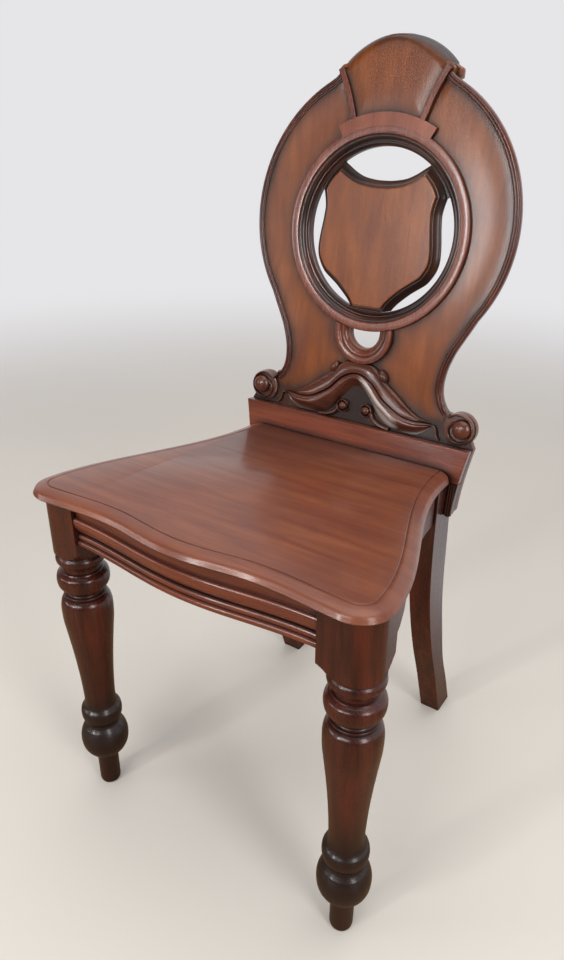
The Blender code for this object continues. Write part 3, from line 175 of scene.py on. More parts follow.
def mahogany(name, deep, warm, along, polish=0.34, coat=0.22, figure=1.0, patina="5A3028"):
    """Mahogany under old French polish. Open pores make short dark flecks with the grain, paler
    and darker ribbons run beside them, and painted shade, with dirt, darkens the polish in hollows and
    quirks.
    The polish is a thin satin coat over the wood."""
    made, tree = bare_material(name)
    place = add(tree, "ShaderNodeTexCoord").outputs["Object"]

    def grain(length, width, detail, distortion=0.0):
        """Noise drawn out along the grain, from the length and the width of its marks."""
        size = [1 / length if axis == along else 1 / width for axis in "XYZ"]
        spread = add(tree, "ShaderNodeMapping", {
            "Vector": place, "Rotation": (0.02, 0.03, 0.02), "Scale": size,
        })
        return add(tree, "ShaderNodeTexNoise", {
            "Vector": spread, "Scale": 1.0, "Detail": detail, "Roughness": 0.6, "Distortion": distortion,
        })

    ribbon = grain(0.150, 0.014, 3, 0.6)
    streak = grain(0.070, 0.0022, 4, 0.2)
    # A real pore is 0.2 mm wide: it is drawn 0.5 mm wide, so that it shows.
    pore = grain(0.007, 0.0005, 2)
    cloud = add(tree, "ShaderNodeTexNoise", {
        "Vector": place, "Scale": 15.0, "Detail": 3.0, "Roughness": 0.5,
    })
    # Painted shade: the wood is darkened where nearby surfaces shut a point in, and where the mesh marks
    # dirt and painted shade.
    shut_in = add(tree, "ShaderNodeAmbientOcclusion", {"Distance": 0.011}, samples=6)
    hollow_shade = add(tree, "ShaderNodeMapRange", [shut_in.outputs["AO"], 0.35, 0.95, 1, 0])
    marked_dark = add(tree, "ShaderNodeAttribute", attribute_name="dirt_and_painted_shade").outputs["Fac"]
    dirt_and_shade = add(tree, "ShaderNodeMath", [hollow_shade, marked_dark], operation="MAXIMUM")
    uneven = add(tree, "ShaderNodeMapRange", [cloud, 0.3, 0.7, 0.75, 1.15])
    dirt_and_shade = add(tree, "ShaderNodeMath", [dirt_and_shade, uneven], operation="MULTIPLY", use_clamp=True)

    # The colour in layers: the pattern of each, where it starts and is full, its strength, its colour.
    wood = srgb(deep)
    for pattern, start, full, strength, colour in (
        (ribbon, 0.30, 0.72, 1, warm), (streak, 0.40, 0.72, 0.24 * figure, deep),
        (pore, 0.60, 0.72, 0.42 * figure, "2E1610"), (cloud, 0.42, 0.72, 0.42, patina),
        (dirt_and_shade, 0.0, 0.8, 0.97, "1C0D09"),
    ):
        share = add(tree, "ShaderNodeMapRange", [pattern, start, full, 0, strength])
        wood = add(tree, "ShaderNodeMix", {
            "Factor": share, "A": wood, "B": srgb(colour),
        }, data_type="RGBA")
    dull = add(tree, "ShaderNodeMapRange", [streak, 0.3, 0.7, polish - 0.04, polish + 0.05])
    duller_where_dark = add(tree, "ShaderNodeMapRange", [dirt_and_shade, 0, 1, 0, 0.16])
    dull = add(tree, "ShaderNodeMath", [dull, duller_where_dark], operation="ADD")
    # Old polish has fine crazing and dents a few millimetres across, which break its highlights.
    crazing = add(tree, "ShaderNodeTexNoise", {
        "Vector": place, "Scale": 420.0, "Detail": 3.0, "Roughness": 0.65,
    })
    open_pore = add(tree, "ShaderNodeMapRange", [pore, 0.58, 0.75, 1, 0])
    under = {}
    for height, strength, distance in (
        (open_pore, 0.25, 0.00025), (streak, 0.30, 0.0004), (crazing, 0.35, 0.0004),
    ):
        ripple = add(tree, "ShaderNodeBump", {
            "Height": height, "Strength": strength, "Distance": distance, **under,
        })
        under = {"Normal": ripple}
    shader = add(tree, "ShaderNodeBsdfPrincipled", {
        "Base Color": wood, "Roughness": dull, "IOR": 1.42, "Coat Weight": coat,
        "Coat Roughness": 0.16, "Coat IOR": 1.5, "Normal": ripple,
    })
    add(tree, "ShaderNodeOutputMaterial", {"Surface": shader})
    return made


def mesh_from(verts, faces):
    """A mesh from its points and faces."""
    mesh = bpy.data.meshes.new("made")
    mesh.from_pydata([tuple(v) for v in verts], [], faces)
    return mesh


def loft(rings):
    """A skin through closed rings, which all have the same number of points, shut at both ends."""
    count, last = len(rings[0]), len(rings[0]) * (len(rings) - 1)
    faces = [
        (row + i, row + (i + 1) % count, row + count + (i + 1) % count, row + count + i)
        for row in range(0, last, count) for i in range(count)
    ]
    faces += [tuple(range(count)), tuple(range(last, last + count))]
    return mesh_from([point for ring in rings for point in ring], faces)


def piece(name, mesh, wood, nodes=(), place=None, crease=40):
    """Closes a mesh's seams, turns its faces outwards and makes it a piece of the chair that
    stands for the CAD nodes named."""
    if place is not None:
        mesh.transform(place)
    work = bmesh.new()
    work.from_mesh(mesh)
    bmesh.ops.remove_doubles(work, verts=work.verts, dist=0.00002)
    bmesh.ops.recalc_face_normals(work, faces=work.faces)
    work.to_mesh(mesh)
    work.free()
    mesh.materials.clear()
    mesh.materials.append(wood)
    mesh.shade_smooth()
    mesh.set_sharp_from_angle(angle=radians(crease))
    made = bpy.data.objects.new(name, mesh)
    chair.objects.link(made)
    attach(made, "root")
    if nodes:
        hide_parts(*nodes)
    return made


def arc(centre, radius, start, end, steps):
    """Points of an arc, its angles in degrees anticlockwise from the X axis."""
    turns = [radians(start + (end - start) * i / steps) for i in range(steps + 1)]
    return [(centre[0] + radius * cos(t), centre[1] + radius * sin(t)) for t in turns]


def mirrored(half):
    """A whole outline from its right half, which starts and ends on the middle line."""
    return half + [(-x, y) for x, y in reversed(half) if abs(x) > 0.00002]


seat_half_width, seat_rear_half_width, seat_thick = 0.2135, 0.1445, 0.016
seat_hollow_reach, seat_nose_swell, seat_nose_half = 0.0355, 0.011, 0.100
seat_corner_swell, seat_corner_radius, seat_rear_radius = 0.0057, 0.033, 0.012
seat_rear = max(
    (on_seat.inverted() @ v.co).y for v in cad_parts["seat_board"].data.vertices
)
mould_width = 0.0145


def front_reach(x):
    """How far the seat's front edge stands before the line of the front legs."""
    if abs(x) < seat_nose_half:
        return seat_hollow_reach + seat_nose_swell * (1 + cos(pi * x / seat_nose_half)) / 2
    run = (abs(x) - seat_nose_half) / (seat_half_width - seat_corner_radius / 2 - seat_nose_half)
    return seat_hollow_reach + seat_corner_swell * (1 - cos(pi * run)) / 2


corner_x = seat_half_width - seat_corner_radius
corner_y = seat_corner_radius - front_reach(corner_x)


def half_width_at(y):
    """Half width of the seat at a depth from its front legs."""
    rear = seat_rear - seat_rear_radius
    share = min(max((y - corner_y) / (rear - corner_y), 0), 1) ** 0.9
    return seat_rear_half_width + (seat_half_width - seat_rear_half_width) * (1 + cos(pi * share)) / 2


def seat_outline(inset):
    """Plan of the seat, drawn in at its front, sides and corners but not at its rear."""
    rear_radius = seat_rear_radius * max(1 - 0.8 * inset / mould_width, 0.15)
    rear_y = seat_rear - rear_radius
    front = [(corner_x * i / 48, inset - front_reach(corner_x * i / 48)) for i in range(48)]
    corner = arc((corner_x, corner_y), seat_corner_radius - inset, -90, 0, 18)
    depths = [corner_y + (rear_y - corner_y) * i / 40 for i in range(1, 40)]
    side = [(half_width_at(y) - inset, y) for y in depths]
    rear_x = seat_rear_half_width - inset - rear_radius
    return mirrored(front + corner + side + arc((rear_x, rear_y), rear_radius, 0, 90, 8))


# Worn satin polish: the seat's sheen is broad and soft, and its grain runs in long ribbons.
seat_wood = mahogany("seat_mahogany", "6E3724", "8A4F34", "X", polish=0.38, coat=0.30, figure=0.8)
edge_millimetres = (
    (17.2, 0.0), (16.7, 0.12), (16.3, 0.80), (15.8, 0.90), (15.3, 0.35), (14.4, 0.2), (12.2, 0.6),
    (9.8, 1.1), (7.6, 1.7), (5.8, 2.3), (4.5, 2.8), (3.5, 3.3), (2.7, 3.9), (2.1, 4.7), (1.6, 5.7),
    (1.0, 7.2), (0.4, 8.6), (0.0, 9.5), (0.5, 10.4), (1.6, 11.4), (3.4, 12.7), (5.4, 14.1), (7.4, 15.4),
    (8.4, 16.0),
)
seat_rings = [
    [(x, y, -down / 1000) for x, y in seat_outline(inset / 1000)] for inset, down in edge_millimetres
]
piece("seat", loft(seat_rings), seat_wood, ("seat_board",), on_seat, crease=50)

# The front legs: each is one turned post with a square block left at its head for the rails.
# The block's outer corner is rounded to follow the seat. Below it come a ring, a tapering
# shaft, a lower ring, a bulb and a peg foot, all polished, with shade painted nearly black into their
# quirks.
leg_half_spread = 0.1795
block_half, block_taper, block_round = 0.028, 0.0045, 0.026
# Stain and wax have turned it nearly black, with red only where light strikes the polish.
leg_wood = mahogany(
    "leg_mahogany", "30110A", "5A2416", "Z", polish=0.26, coat=0.32, figure=0.4, patina="22100A",
)


def smooth(points, steps):
    """A curve through every point, divided into steps between each two."""
    ends = [points[0], *points, points[-1]]
    made = []
    for a, b, c, d in zip(ends, ends[1:], ends[2:], ends[3:]):
        for i in range(steps):
            t = i / steps
            made.append(tuple(
                b[k] + t * (c[k] - a[k]) / 2
                + t * t * (a[k] - 2.5 * b[k] + 2 * c[k] - d[k] / 2)
                + t * t * t * (1.5 * (b[k] - c[k]) + (d[k] - a[k]) / 2)
                for k in range(len(b))
            ))
    return made + [tuple(points[-1])]


turning_millimetres = (
    ((27.6, 364.2), (26.2, 362.8), (25.8, 361.4), (26.9, 359.8), (28.0, 357.0), (28.0, 353.8),
     (26.9, 351.0), (24.6, 349.4)),
    ((22.4, 348.2), (21.2, 344.0), (21.2, 340.4)),
    ((23.4, 339.4), (24.0, 338.2)),
    ((26.0, 337.2), (28.7, 334.4), (29.9, 330.0), (30.0, 325.2), (29.0, 320.0), (26.6, 316.0)),
    ((24.0, 314.8), (21.8, 312.4), (21.0, 309.8), (22.4, 308.2), (24.2, 307.4), (24.4, 305.8),
     (23.4, 304.6)),
    ((22.8, 303.4), (25.0, 302.2), (27.6, 298.8), (29.2, 293.0), (29.8, 285.5), (29.4, 270.0),
     (27.6, 254.0), (24.8, 230.0), (22.4, 206.0), (20.4, 180.0), (19.2, 155.0), (19.2, 142.0),
     (20.2, 135.0)),
    ((22.2, 132.6), (24.3, 129.6), (25.2, 125.2), (25.2, 120.0), (24.2, 114.8), (22.2, 111.4)),
    ((20.4, 109.4), (19.8, 106.4), (20.8, 102.8)),
    ((24.4, 99.8), (27.6, 93.4), (29.5, 86.0), (29.8, 78.0), (28.7, 69.8), (25.8, 62.8),
     (21.4, 57.0), (16.8, 53.4)),
    ((14.2, 51.0), (13.4, 45.0), (13.2, 25.0), (13.1, 7.5), (12.6, 3.0), (11.4, 0.6), (10.4, 0.0)),
)
turning = []
for member in turning_millimetres:
    turning += [(r / 1000, z / 1000) for r, z in smooth(member, 5)]


def block_reach(turn, side):
    """Distance from the leg's axis to the face of its square block, in one direction."""
    x, y = cos(turn) * side, sin(turn)
    slope = block_taper / block_half
    reach = []
    if x > 1e-6:
        reach.append((block_half - block_taper / 2) / (x + slope * y / 2))
    if x < -1e-6:
        reach.append(-block_half / x)
    if abs(y) > 1e-6:
        reach.append(block_half / abs(y))
    best = min(r for r in reach if r > 0)
    centre = block_half - block_round
    px, py = best * x, best * y
    if px > centre and py < -centre:
        along = x * centre - y * centre
        best = along + sqrt(max(along * along - 2 * centre * centre + block_round ** 2, 0))
    return best


block_profile = [
    (0.0290, 0.3650), (0.0312, 0.3672), (0.0332, 0.3700), (0.0352, 0.3722),
    (0.0372, 0.3738), (0.0392, 0.3750), (0.0420, 0.3760), (0.0430, 0.3770), (0.0430, 0.380),
]
# Pieces that meet stop a hair short of each other, as the joints of the real chair do.
joint_gap = 0.0003
seat_under = seat_thick / cos(seat_fall) + joint_gap
both_sides = (("right", 1), ("left", -1))


def under_seat(y):
    """How high the seat's underside stands, at a distance behind the front legs."""
    return seat_height - y * tan(seat_fall) - seat_under


def write_shares(mesh, name, shares):
    """Keeps a share at each point of a mesh, for its wood to read."""
    values = np.asarray(shares, dtype=np.float32)
    mesh.attributes.new(name, "FLOAT", "POINT").data.foreach_set("value", values)


for word, side in both_sides:
    turns = [2 * pi * i / 160 for i in range(160)]
    rings = [[(r * cos(t), r * sin(t), z) for t in turns] for r, z in reversed(turning)]
    reaches = [block_reach(t, side) for t in turns]
    for r, z in block_profile:
        rings.append([(min(r, out) * cos(t), min(r, out) * sin(t), z) for t, out in zip(turns, reaches)])
    for inset in (0.0, 0.0004):
        top = [((out - inset) * cos(t), (out - inset) * sin(t)) for t, out in zip(turns, reaches)]
        rings.append([(x, y, under_seat(y)) for x, y in top])
    post = loft(rings)
    # The feet are nearly black: the wood is darkened from the lower shaft down to the floor, most of all at
    # the bulb.
    heights = [v.co.z for v in post.vertices]
    write_shares(post, "dirt_and_painted_shade", np.interp(
        heights, (0.0, 0.05, 0.07, 0.13, 0.16, 0.20, 0.27), (0.6, 0.7, 0.92, 0.88, 0.5, 0.2, 0.0),
    ))
    piece(f"front_post_{word}", post, leg_wood, (f"front_leg_{word}",),
          Matrix.Translation((side * leg_half_spread, leg_line, 0)), crease=34)

# The rear legs: sawn from plank to a sabre sweep, with their edges only just eased. The grain
# runs down the leg. A rebate at the head takes the back board.
leg_arris = 0.0012


def plate(outline, low, high):
    """A flat outline between two heights, with true corners, as a filled curve."""
    curve = bpy.data.curves.new("plate", "CURVE")
    curve.dimensions, curve.fill_mode, curve.extrude = "2D", "BOTH", (high - low) / 2
    spline = curve.splines.new("POLY")
    spline.points.add(len(outline) - 1)
    for point, (x, y) in zip(spline.points, outline):
        point.co = (x, y, 0, 1)
    spline.use_cyclic_u = True
    helper = bpy.data.objects.new("plate", curve)
    mesh = bpy.data.meshes.new_from_object(helper)
    bpy.data.objects.remove(helper)
    mesh.transform(Matrix.Translation((0, 0, (high + low) / 2)))
    return mesh


def ease(made, width):
    """Takes the sharpness off a piece's arrises, as glass-paper and years of hands do."""
    change = made.modifiers.new("ease", "BEVEL")
    change.width, change.segments = width, 2
    change.limit_method, change.angle_limit = "ANGLE", radians(40)
    change.harden_normals = True


sideways = Matrix(((0, 0, 1, 0), (1, 0, 0, 0), (0, 1, 0, 0), (0, 0, 0, 1)))
back_setback, back_rake = 0.3043, radians(7.35)
on_back = (
    Matrix.Translation((0, leg_line + back_setback, seat_height))
    @ Matrix.Rotation(-back_rake, 4, "X") @ Matrix.Rotation(pi / 2, 4, "X")
)
rear_leg_out, rear_leg_width = 0.1392, 0.0286
head_front = 0.263
head_rear = head_front + 0.044
foot_reach, foot_depth = 0.4009, 0.0376
board_foot = 0.0775


def on_face(depth, up):
    """A point behind and up the back's front face, as distance behind the legs and height."""
    point = on_back @ Vector((0, up, -depth))
    return point.y - leg_line, point.z


shoulder_up = -board_foot - joint_gap
shoulder_depth = (head_rear - on_face(0, shoulder_up)[0]) / cos(back_rake)
shoulder_height = on_face(shoulder_depth, shoulder_up)[1]
front_sweep = [
    (head_front + (foot_reach - foot_depth - head_front) * a, shoulder_height * b) for a, b in (
        (0.000, 1.00), (0.015, 0.89), (0.08, 0.73), (0.195, 0.59), (0.395, 0.42), (0.68, 0.23),
        (1.0, 0),
    )
]
rear_sweep = [
    (head_rear + (foot_reach - head_rear) * a, shoulder_height * b) for a, b in (
        (0.000, 1.00), (0.043, 0.86), (0.08, 0.74), (0.16, 0.61), (0.32, 0.45), (0.51, 0.29),
        (0.777, 0.14), (1.0, 0),
    )
]


rebate_y = on_face(0, -0.036)[0] - joint_gap
rebate_y = on_face(0, under_seat(rebate_y) - seat_height)[0] - joint_gap
leg_side = [
    (rebate_y, under_seat(rebate_y)), (head_front, under_seat(head_front)),
    *smooth(front_sweep, 8), *reversed(smooth(rear_sweep, 8)), on_face(-joint_gap, shoulder_up),
]
for word, side in both_sides:
    low, high = sorted((side * (rear_leg_out - rear_leg_width), side * rear_leg_out))
    made = piece(
        f"sabre_leg_{word}", plate(leg_side, low, high), leg_wood, (f"rear_leg_{word}",),
        Matrix.Translation((0, leg_line, 0)) @ sideways, crease=30,
    )
    ease(made, leg_arris)

# The front rail: one length of polished mahogany, bowed in plan like the seat above it and
# tenoned into the leg blocks. It is moulded with a flat under the seat, an ovolo that slopes
# back to a deep quirk, and a double bead, and the light runs sharply along each bead.
rail_wood = mahogany("rail_mahogany", "5E2C1C", "86442E", "X", polish=0.28, coat=0.36)
rail_millimetres = [(5.6, 0.1), (6.0, 4.0), (5.8, 8.0), (5.4, 11.4)] + smooth((
    (6.0, 12.0), (7.4, 11.9), (8.8, 12.7), (9.7, 14.2), (9.9, 16.0), (9.5, 18.4), (8.4, 21.6), (6.8, 24.8),
    (4.8, 28.0), (2.6, 30.6), (0.8, 31.8), (0.3, 32.0),
), 3) + smooth((
    (1.6, 32.2), (3.6, 33.2), (4.5, 34.9), (4.6, 36.4), (4.0, 38.4), (2.6, 39.8),
), 3) + smooth((
    (4.2, 40.4), (5.4, 41.8), (5.8, 43.6), (5.5, 45.4), (4.4, 47.0), (3.2, 47.8), (2.0, 48.0),
), 3)
rail_end = leg_half_spread - block_half - joint_gap
rail_reach, rail_bow, rail_tall, rail_rear = 0.015, 0.0135, 0.048, 0.002
rail_rings = []
for i in range(-60, 61):
    x = rail_end * i / 60
    reach = rail_reach + rail_bow * (1 + cos(pi * min(abs(x) / (leg_half_spread - block_half), 1))) / 2
    top = -seat_thick - joint_gap
    ring = [(x, -reach - out / 1000, top - down / 1000) for out, down in rail_millimetres]
    rail_rings.append(ring + [(x, rail_rear, top - rail_tall), (x, rail_rear, top)])
piece("front_rail_moulded", loft(rail_rings), rail_wood, ("front_rail",), on_seat, crease=42)

# The plainer wood under the seat: side rails sawn to its sweep, the rear rail between the rear
# legs, pine glue blocks rubbed into the corners and dowels in the ring. They are CAD solids as
# they are, and only take their finish here: wood that is hardly sealed and hardly shines.
plain_wood = mahogany("frame_mahogany", "43201A", "643226", "Y", polish=0.42, coat=0.10)
rear_wood = mahogany("rail_grain_across", "43201A", "643226", "X", polish=0.42, coat=0.10)
block_pine = mahogany("glue_block_pine", "8A6238", "B48A58", "Z", polish=0.70, coat=0.0, figure=0.6)
plain_nodes = {
    plain_wood: ("side_rail_left", "side_rail_right", "shield_dowel_left", "shield_dowel_right",
                 "shield_dowel_foot"),
    rear_wood: ("rear_rail",),
    block_pine: [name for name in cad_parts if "glue_block" in name],
}
for wood, names in plain_nodes.items():
    for holder in [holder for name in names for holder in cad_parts[name].material_slots]:
        holder.material = wood

# The back board: one wide board of straight-grained orange-brown mahogany, sawn to a balloon
# with ears, a hollow waist and lobes for the volutes. Its face is sunk 3 mm inside a raised rim
# and swells up softly again towards it, with dirt and painted shade in the thin polish all round its edges.
panel_wood = mahogany("panel_mahogany", "70350C", "904D16", "Z", polish=0.32, coat=0.24, patina="602C18")
crest_top, crest_drop = 0.4374, 0.0304
ear_out, ear_top, ear_height = 0.068, 0.407, 0.010
balloon_up, balloon_radius = 0.246, 0.166
waist_out, waist_up = 0.1094, 0.076
volute_out, volute_up, lobe_radius = 0.1372, 0.028, 0.020
plinth_top, plinth_out, foot_out = 0.0074, 0.1575, 0.148
board_depth, field_depth, rim_width = 0.012, 0.003, 0.0085
ring_up, ring_out, ring_seat, ring_in = 0.236, 0.114, 0.1004, 0.092
collar_up, collar_out, collar_in = 0.120, 0.0385, 0.0195


def beside(points, distance):
    """An open line moved to its right."""
    moved = []
    for i, (x, y) in enumerate(points):
        before, after = points[max(i - 1, 0)], points[min(i + 1, len(points) - 1)]
        run, rise = after[0] - before[0], after[1] - before[1]
        length = sqrt(run * run + rise * rise)
        moved.append((x + distance * rise / length, y - distance * run / length))
    return moved


def nearest(points, line):
    """Distance from each point to an open line, as arrays."""
    points, line = np.array(points, float), np.array(line, float)
    best = np.full(len(points), 9.0)
    for a, b in zip(line[:-1], line[1:]):
        run = b - a
        share = np.clip(((points - a) @ run) / max(run @ run, 1e-18), 0, 1)
        gap = points - a - share[:, None] * run
        best = np.minimum(best, np.sqrt((gap * gap).sum(1)))
    return best


def inside(points, loop):
    """Which points lie inside a closed outline."""
    points, loop = np.array(points, float), np.array(loop, float)
    found = np.zeros(len(points), bool)
    for a, b in zip(loop, np.roll(loop, -1, 0)):
        if a[1] == b[1]:
            continue
        spans = (a[1] > points[:, 1]) != (b[1] > points[:, 1])
        reach = a[0] + (points[:, 1] - a[1]) * (b[0] - a[0]) / (b[1] - a[1])
        found ^= spans & (points[:, 0] < reach)
    return found


def relief(outline, holes, step, surface, rear, creases=()):
    """A plate with a flat rear whose front is a net of points at the depths that surface(points)
    gives. Creases are open lines that the net keeps to."""

    def on_board(points):
        """Which points lie on the plate and in none of its holes."""
        kept = inside(points, outline)
        for hole in holes:
            kept &= ~inside(points, hole)
        return kept

    fixed, ends = [], []
    for loop, ring in [(line, True) for line in (outline, *holes)] + [(c, False) for c in creases]:
        start, count = len(fixed), len(loop)
        fixed += [tuple(p) for p in loop]
        ends += [(start + i, start + (i + 1) % count) for i in range(count if ring else count - 1)]
    span = np.array(outline)
    low, high = span.min(0), span.max(0)
    rows = np.arange(low[1], high[1], step * 0.866)
    net = np.array([
        (x + step / 2 * (r % 2), y) for r, y in enumerate(rows)
        for x in np.arange(low[0], high[0], step)
    ])
    net = net[on_board(net)]
    for line in ([*outline, outline[0]], *[[*h, h[0]] for h in holes], *creases):
        net = net[nearest(net, line) > step * 0.45]
    points = [Vector(p) for p in fixed] + [Vector(p) for p in net]
    verts, _, tris, *_ = geometry.delaunay_2d_cdt(points, ends, [], 0, 1e-6)
    verts = np.array([tuple(v) for v in verts])
    centres = np.array([verts[list(t)].mean(0) for t in tris])
    tris = [tuple(t) for t, keep in zip(tris, on_board(centres)) if keep]
    depth = surface(verts)
    count = len(verts)
    points = [(x, y, -d) for (x, y), d in zip(verts, depth)] + [(x, y, -rear) for x, y in verts]
    faces = tris + [tuple(i + count for i in reversed(t)) for t in tris]
    sides = {}
    for t in tris:
        for a, b in zip(t, t[1:] + t[:1]):
            sides[(a, b)] = sides.get((a, b), 0) + 1
    for a, b in sides:
        if (b, a) not in sides:
            faces.append((b, a, a + count, b + count))
    mesh = mesh_from(points, faces)
    work = bmesh.new()
    work.from_mesh(mesh)
    bmesh.ops.delete(work, geom=[v for v in work.verts if not v.link_faces], context="VERTS")
    work.to_mesh(mesh)
    work.free()
    return mesh


def righted(points):
    """Points brought over to the right-hand half, for a shape that is the same on both sides."""
    return np.abs(points) * (1, 0) + points * (0, 1)


def mark_dirt_and_shade(mesh, share, down_to=0.1):
    """Writes how far dirt and painted shade darken the polish, 0 to 1, at each point down to a depth."""
    places = np.array([v.co for v in mesh.vertices])
    write_shares(mesh, "dirt_and_painted_shade", np.clip(share(places[:, :2]), 0, 1) * (places[:, 2] > -down_to))


crest_edge = smooth([(ear_out * a, crest_top + crest_drop * b) for a, b in (
    (-0.275, -0.115), (0, 0), (0.275, -0.115), (0.46, -0.332), (0.629, -0.582), (0.819, -0.872),
)], 8)[8:]
ear_edge = smooth([(ear_out + ear_height * a, ear_top + ear_height * b) for a, b in (
    (-1.23, 0.39), (-0.71, 0.30), (-0.31, 0.16), (0, -0.25), (0, -1.0),
)], 4)[1:]
balloon_edge = arc((0, balloon_up), balloon_radius, 63, -34, 72)
waist_edge = smooth([(waist_out * a, waist_up * b) for a, b in (
    (1.203, 1.855), (1.092, 1.539), (1.050, 1.382), (1.016, 1.211), (1.0, 1.03), (1.005, 0.882),
    (1.028, 0.763), (1.068, 0.66),
)], 6)
lobe_edge = arc((volute_out, volute_up), lobe_radius, 128, -38, 40)


def plinth_side(v):
    """Half width of the plinth and of the board's foot, which hollows inward as it goes down."""
    share = min(max((plinth_top - v) / (plinth_top + board_foot), 0), 1)
    return plinth_out - (plinth_out - foot_out) * sin(share * pi / 2)


rim_line = balloon_edge + waist_edge
field_edge = beside(rim_line, rim_width - 0.0002)
foot_round = (foot_out - rear_leg_out) * 0.9
foot_side = [(plinth_side(v), v) for v in np.linspace(plinth_top, -board_foot + foot_round, 12)]
foot_corner = arc((foot_out - foot_round, foot_round - board_foot), foot_round, 0, -90, 6)
board_half = crest_edge + ear_edge + field_edge + lobe_edge + foot_side[:-1] + foot_corner
board_outline = mirrored(board_half)
ring_hole = arc((0, ring_up), ring_seat, 0, 360, 160)[:-1]
hole_half = collar_in + 0.001
collar_hole = arc((0, collar_up), hole_half, -180, 0, 30) + [
    (hole_half * (1 - i / 8), ring_up - sqrt((ring_out - 0.001) ** 2 - (hole_half * (1 - i / 8)) ** 2))
    for i in range(0, 17)
]


field_swell, swell_reach, foot_sunk = 0.0012, 0.016, 0.0002


def field_surface(points):
    """The sunk face, which swells towards the rim and stands full height at the foot."""
    right = righted(points)
    gap = nearest(right, field_edge)
    depth = field_depth - field_swell * np.exp(-(gap / swell_reach) ** 2)
    above_rib = (right[:, 1] > 0.330) & (right[:, 0] < 0.047 + (right[:, 1] - 0.352) * 0.42)
    depth = np.where(above_rib, field_depth, depth)
    return np.where(points[:, 1] < plinth_top, foot_sunk, depth)


def field_dirt_and_shade(points):
    """Dirt and painted shade in the sunk face, along the rim, round the ring, the collar and the
    volutes, and behind the arch."""
    right = righted(points)
    near_rim = np.exp(-nearest(right, field_edge) / 0.0065) * 0.8
    ring_gap = np.abs(np.hypot(points[:, 0], points[:, 1] - ring_up) - ring_out)
    near_ring = np.exp(-ring_gap / 0.0060) * 0.7
    collar_gap = np.abs(np.hypot(points[:, 0], points[:, 1] - collar_up) - collar_out)
    near_collar = np.exp(-collar_gap / 0.0085) * 0.95
    over_arch = points[:, 1] - np.interp(
        right[:, 0], (0, 0.02, 0.045, 0.075, 0.095), (0.083, 0.083, 0.060, 0.038, 0.031),
    )
    low_down = 0.85 * np.exp(-np.clip(over_arch, 0, 1) / 0.012)
    volute_gap = np.hypot(right[:, 0] - volute_out, right[:, 1] - volute_up) - lobe_radius
    near_volute = 0.9 * np.exp(-np.clip(volute_gap, 0, 1) / 0.009)
    # Painted shade: the field under the arch, behind the buds, is darkened as a recess in shadow.
    in_arch = 0.9 * ((right[:, 0] < 0.05) & (points[:, 1] < 0.060) & (points[:, 1] > 0))
    return np.maximum.reduce([near_rim, near_ring, near_collar, low_down, near_volute, in_arch])


panel = relief(
    board_outline, (ring_hole, collar_hole), 0.0045, field_surface, board_depth,
    creases=([(-0.150, plinth_top), (0.150, plinth_top)],),
)


def settled(made, *helpers):
    """The plain mesh that an object's modifiers make. The object and its helpers go."""
    bpy.context.view_layer.update()
    mesh = bpy.data.meshes.new_from_object(made.evaluated_get(bpy.context.evaluated_depsgraph_get()))
    for helper in (made, *helpers):
        bpy.data.objects.remove(helper, do_unlink=True)
    return mesh


def cut(mesh, cutter):
    """A mesh with another taken out of it."""
    work, tool = bpy.data.objects.new("work", mesh), bpy.data.objects.new("tool", cutter)
    for helper in (work, tool):
        chair.objects.link(helper)
    change = work.modifiers.new("cut", "BOOLEAN")
    change.operation, change.solver, change.object = "DIFFERENCE", "EXACT", tool
    return settled(work, tool)


def joined(meshes):
    """Several meshes as one."""
    work = bmesh.new()
    for mesh in meshes:
        work.from_mesh(mesh)
    made = bpy.data.meshes.new("joined")
    work.to_mesh(made)
    work.free()
    return made


# The screws from behind are sunk a millimetre under the board's back.
screw_places = [(side * u, v) for u, v in ((0.0553, -0.0560), (0.1274, -0.0691)) for side in (1, -1)]
sink, sink_radius = 0.0011, 0.0044
panel = cut(panel, joined([
    plate(arc(centre, sink_radius, 0, 360, 24)[:-1], -board_depth - sink, -board_depth + sink)
    for centre in screw_places
]))
mark_dirt_and_shade(panel, field_dirt_and_shade, board_depth / 2)
piece("balloon_board", panel, panel_wood, ("back_board",), on_back, crease=30)

# The rim of the balloon: worked in the solid board as a rounded edge, a quirk, a fine bead and
# a second quirk that drops to the sunk face. It runs from each ear down to the volute.
# Darker than the face: wax has gathered between its beads, and the rounds alone catch light.
rim_wood = mahogany(
    "rim_mahogany", "43190F", "683420", "Z", polish=0.28, coat=0.35, figure=0.5, patina="3A1A12",
)


def edge_line(name, points, ring=False):
    """A line of points as a mesh of edges, which a moulding can follow or take its section from."""
    mesh = bpy.data.meshes.new(name)
    count = len(points)
    ends = [(i, (i + 1) % count) for i in range(count if ring else count - 1)]
    mesh.from_pydata([(*p, 0)[:3] for p in points], ends, [])
    made = bpy.data.objects.new(name, mesh)
    chair.objects.link(made)
    return made


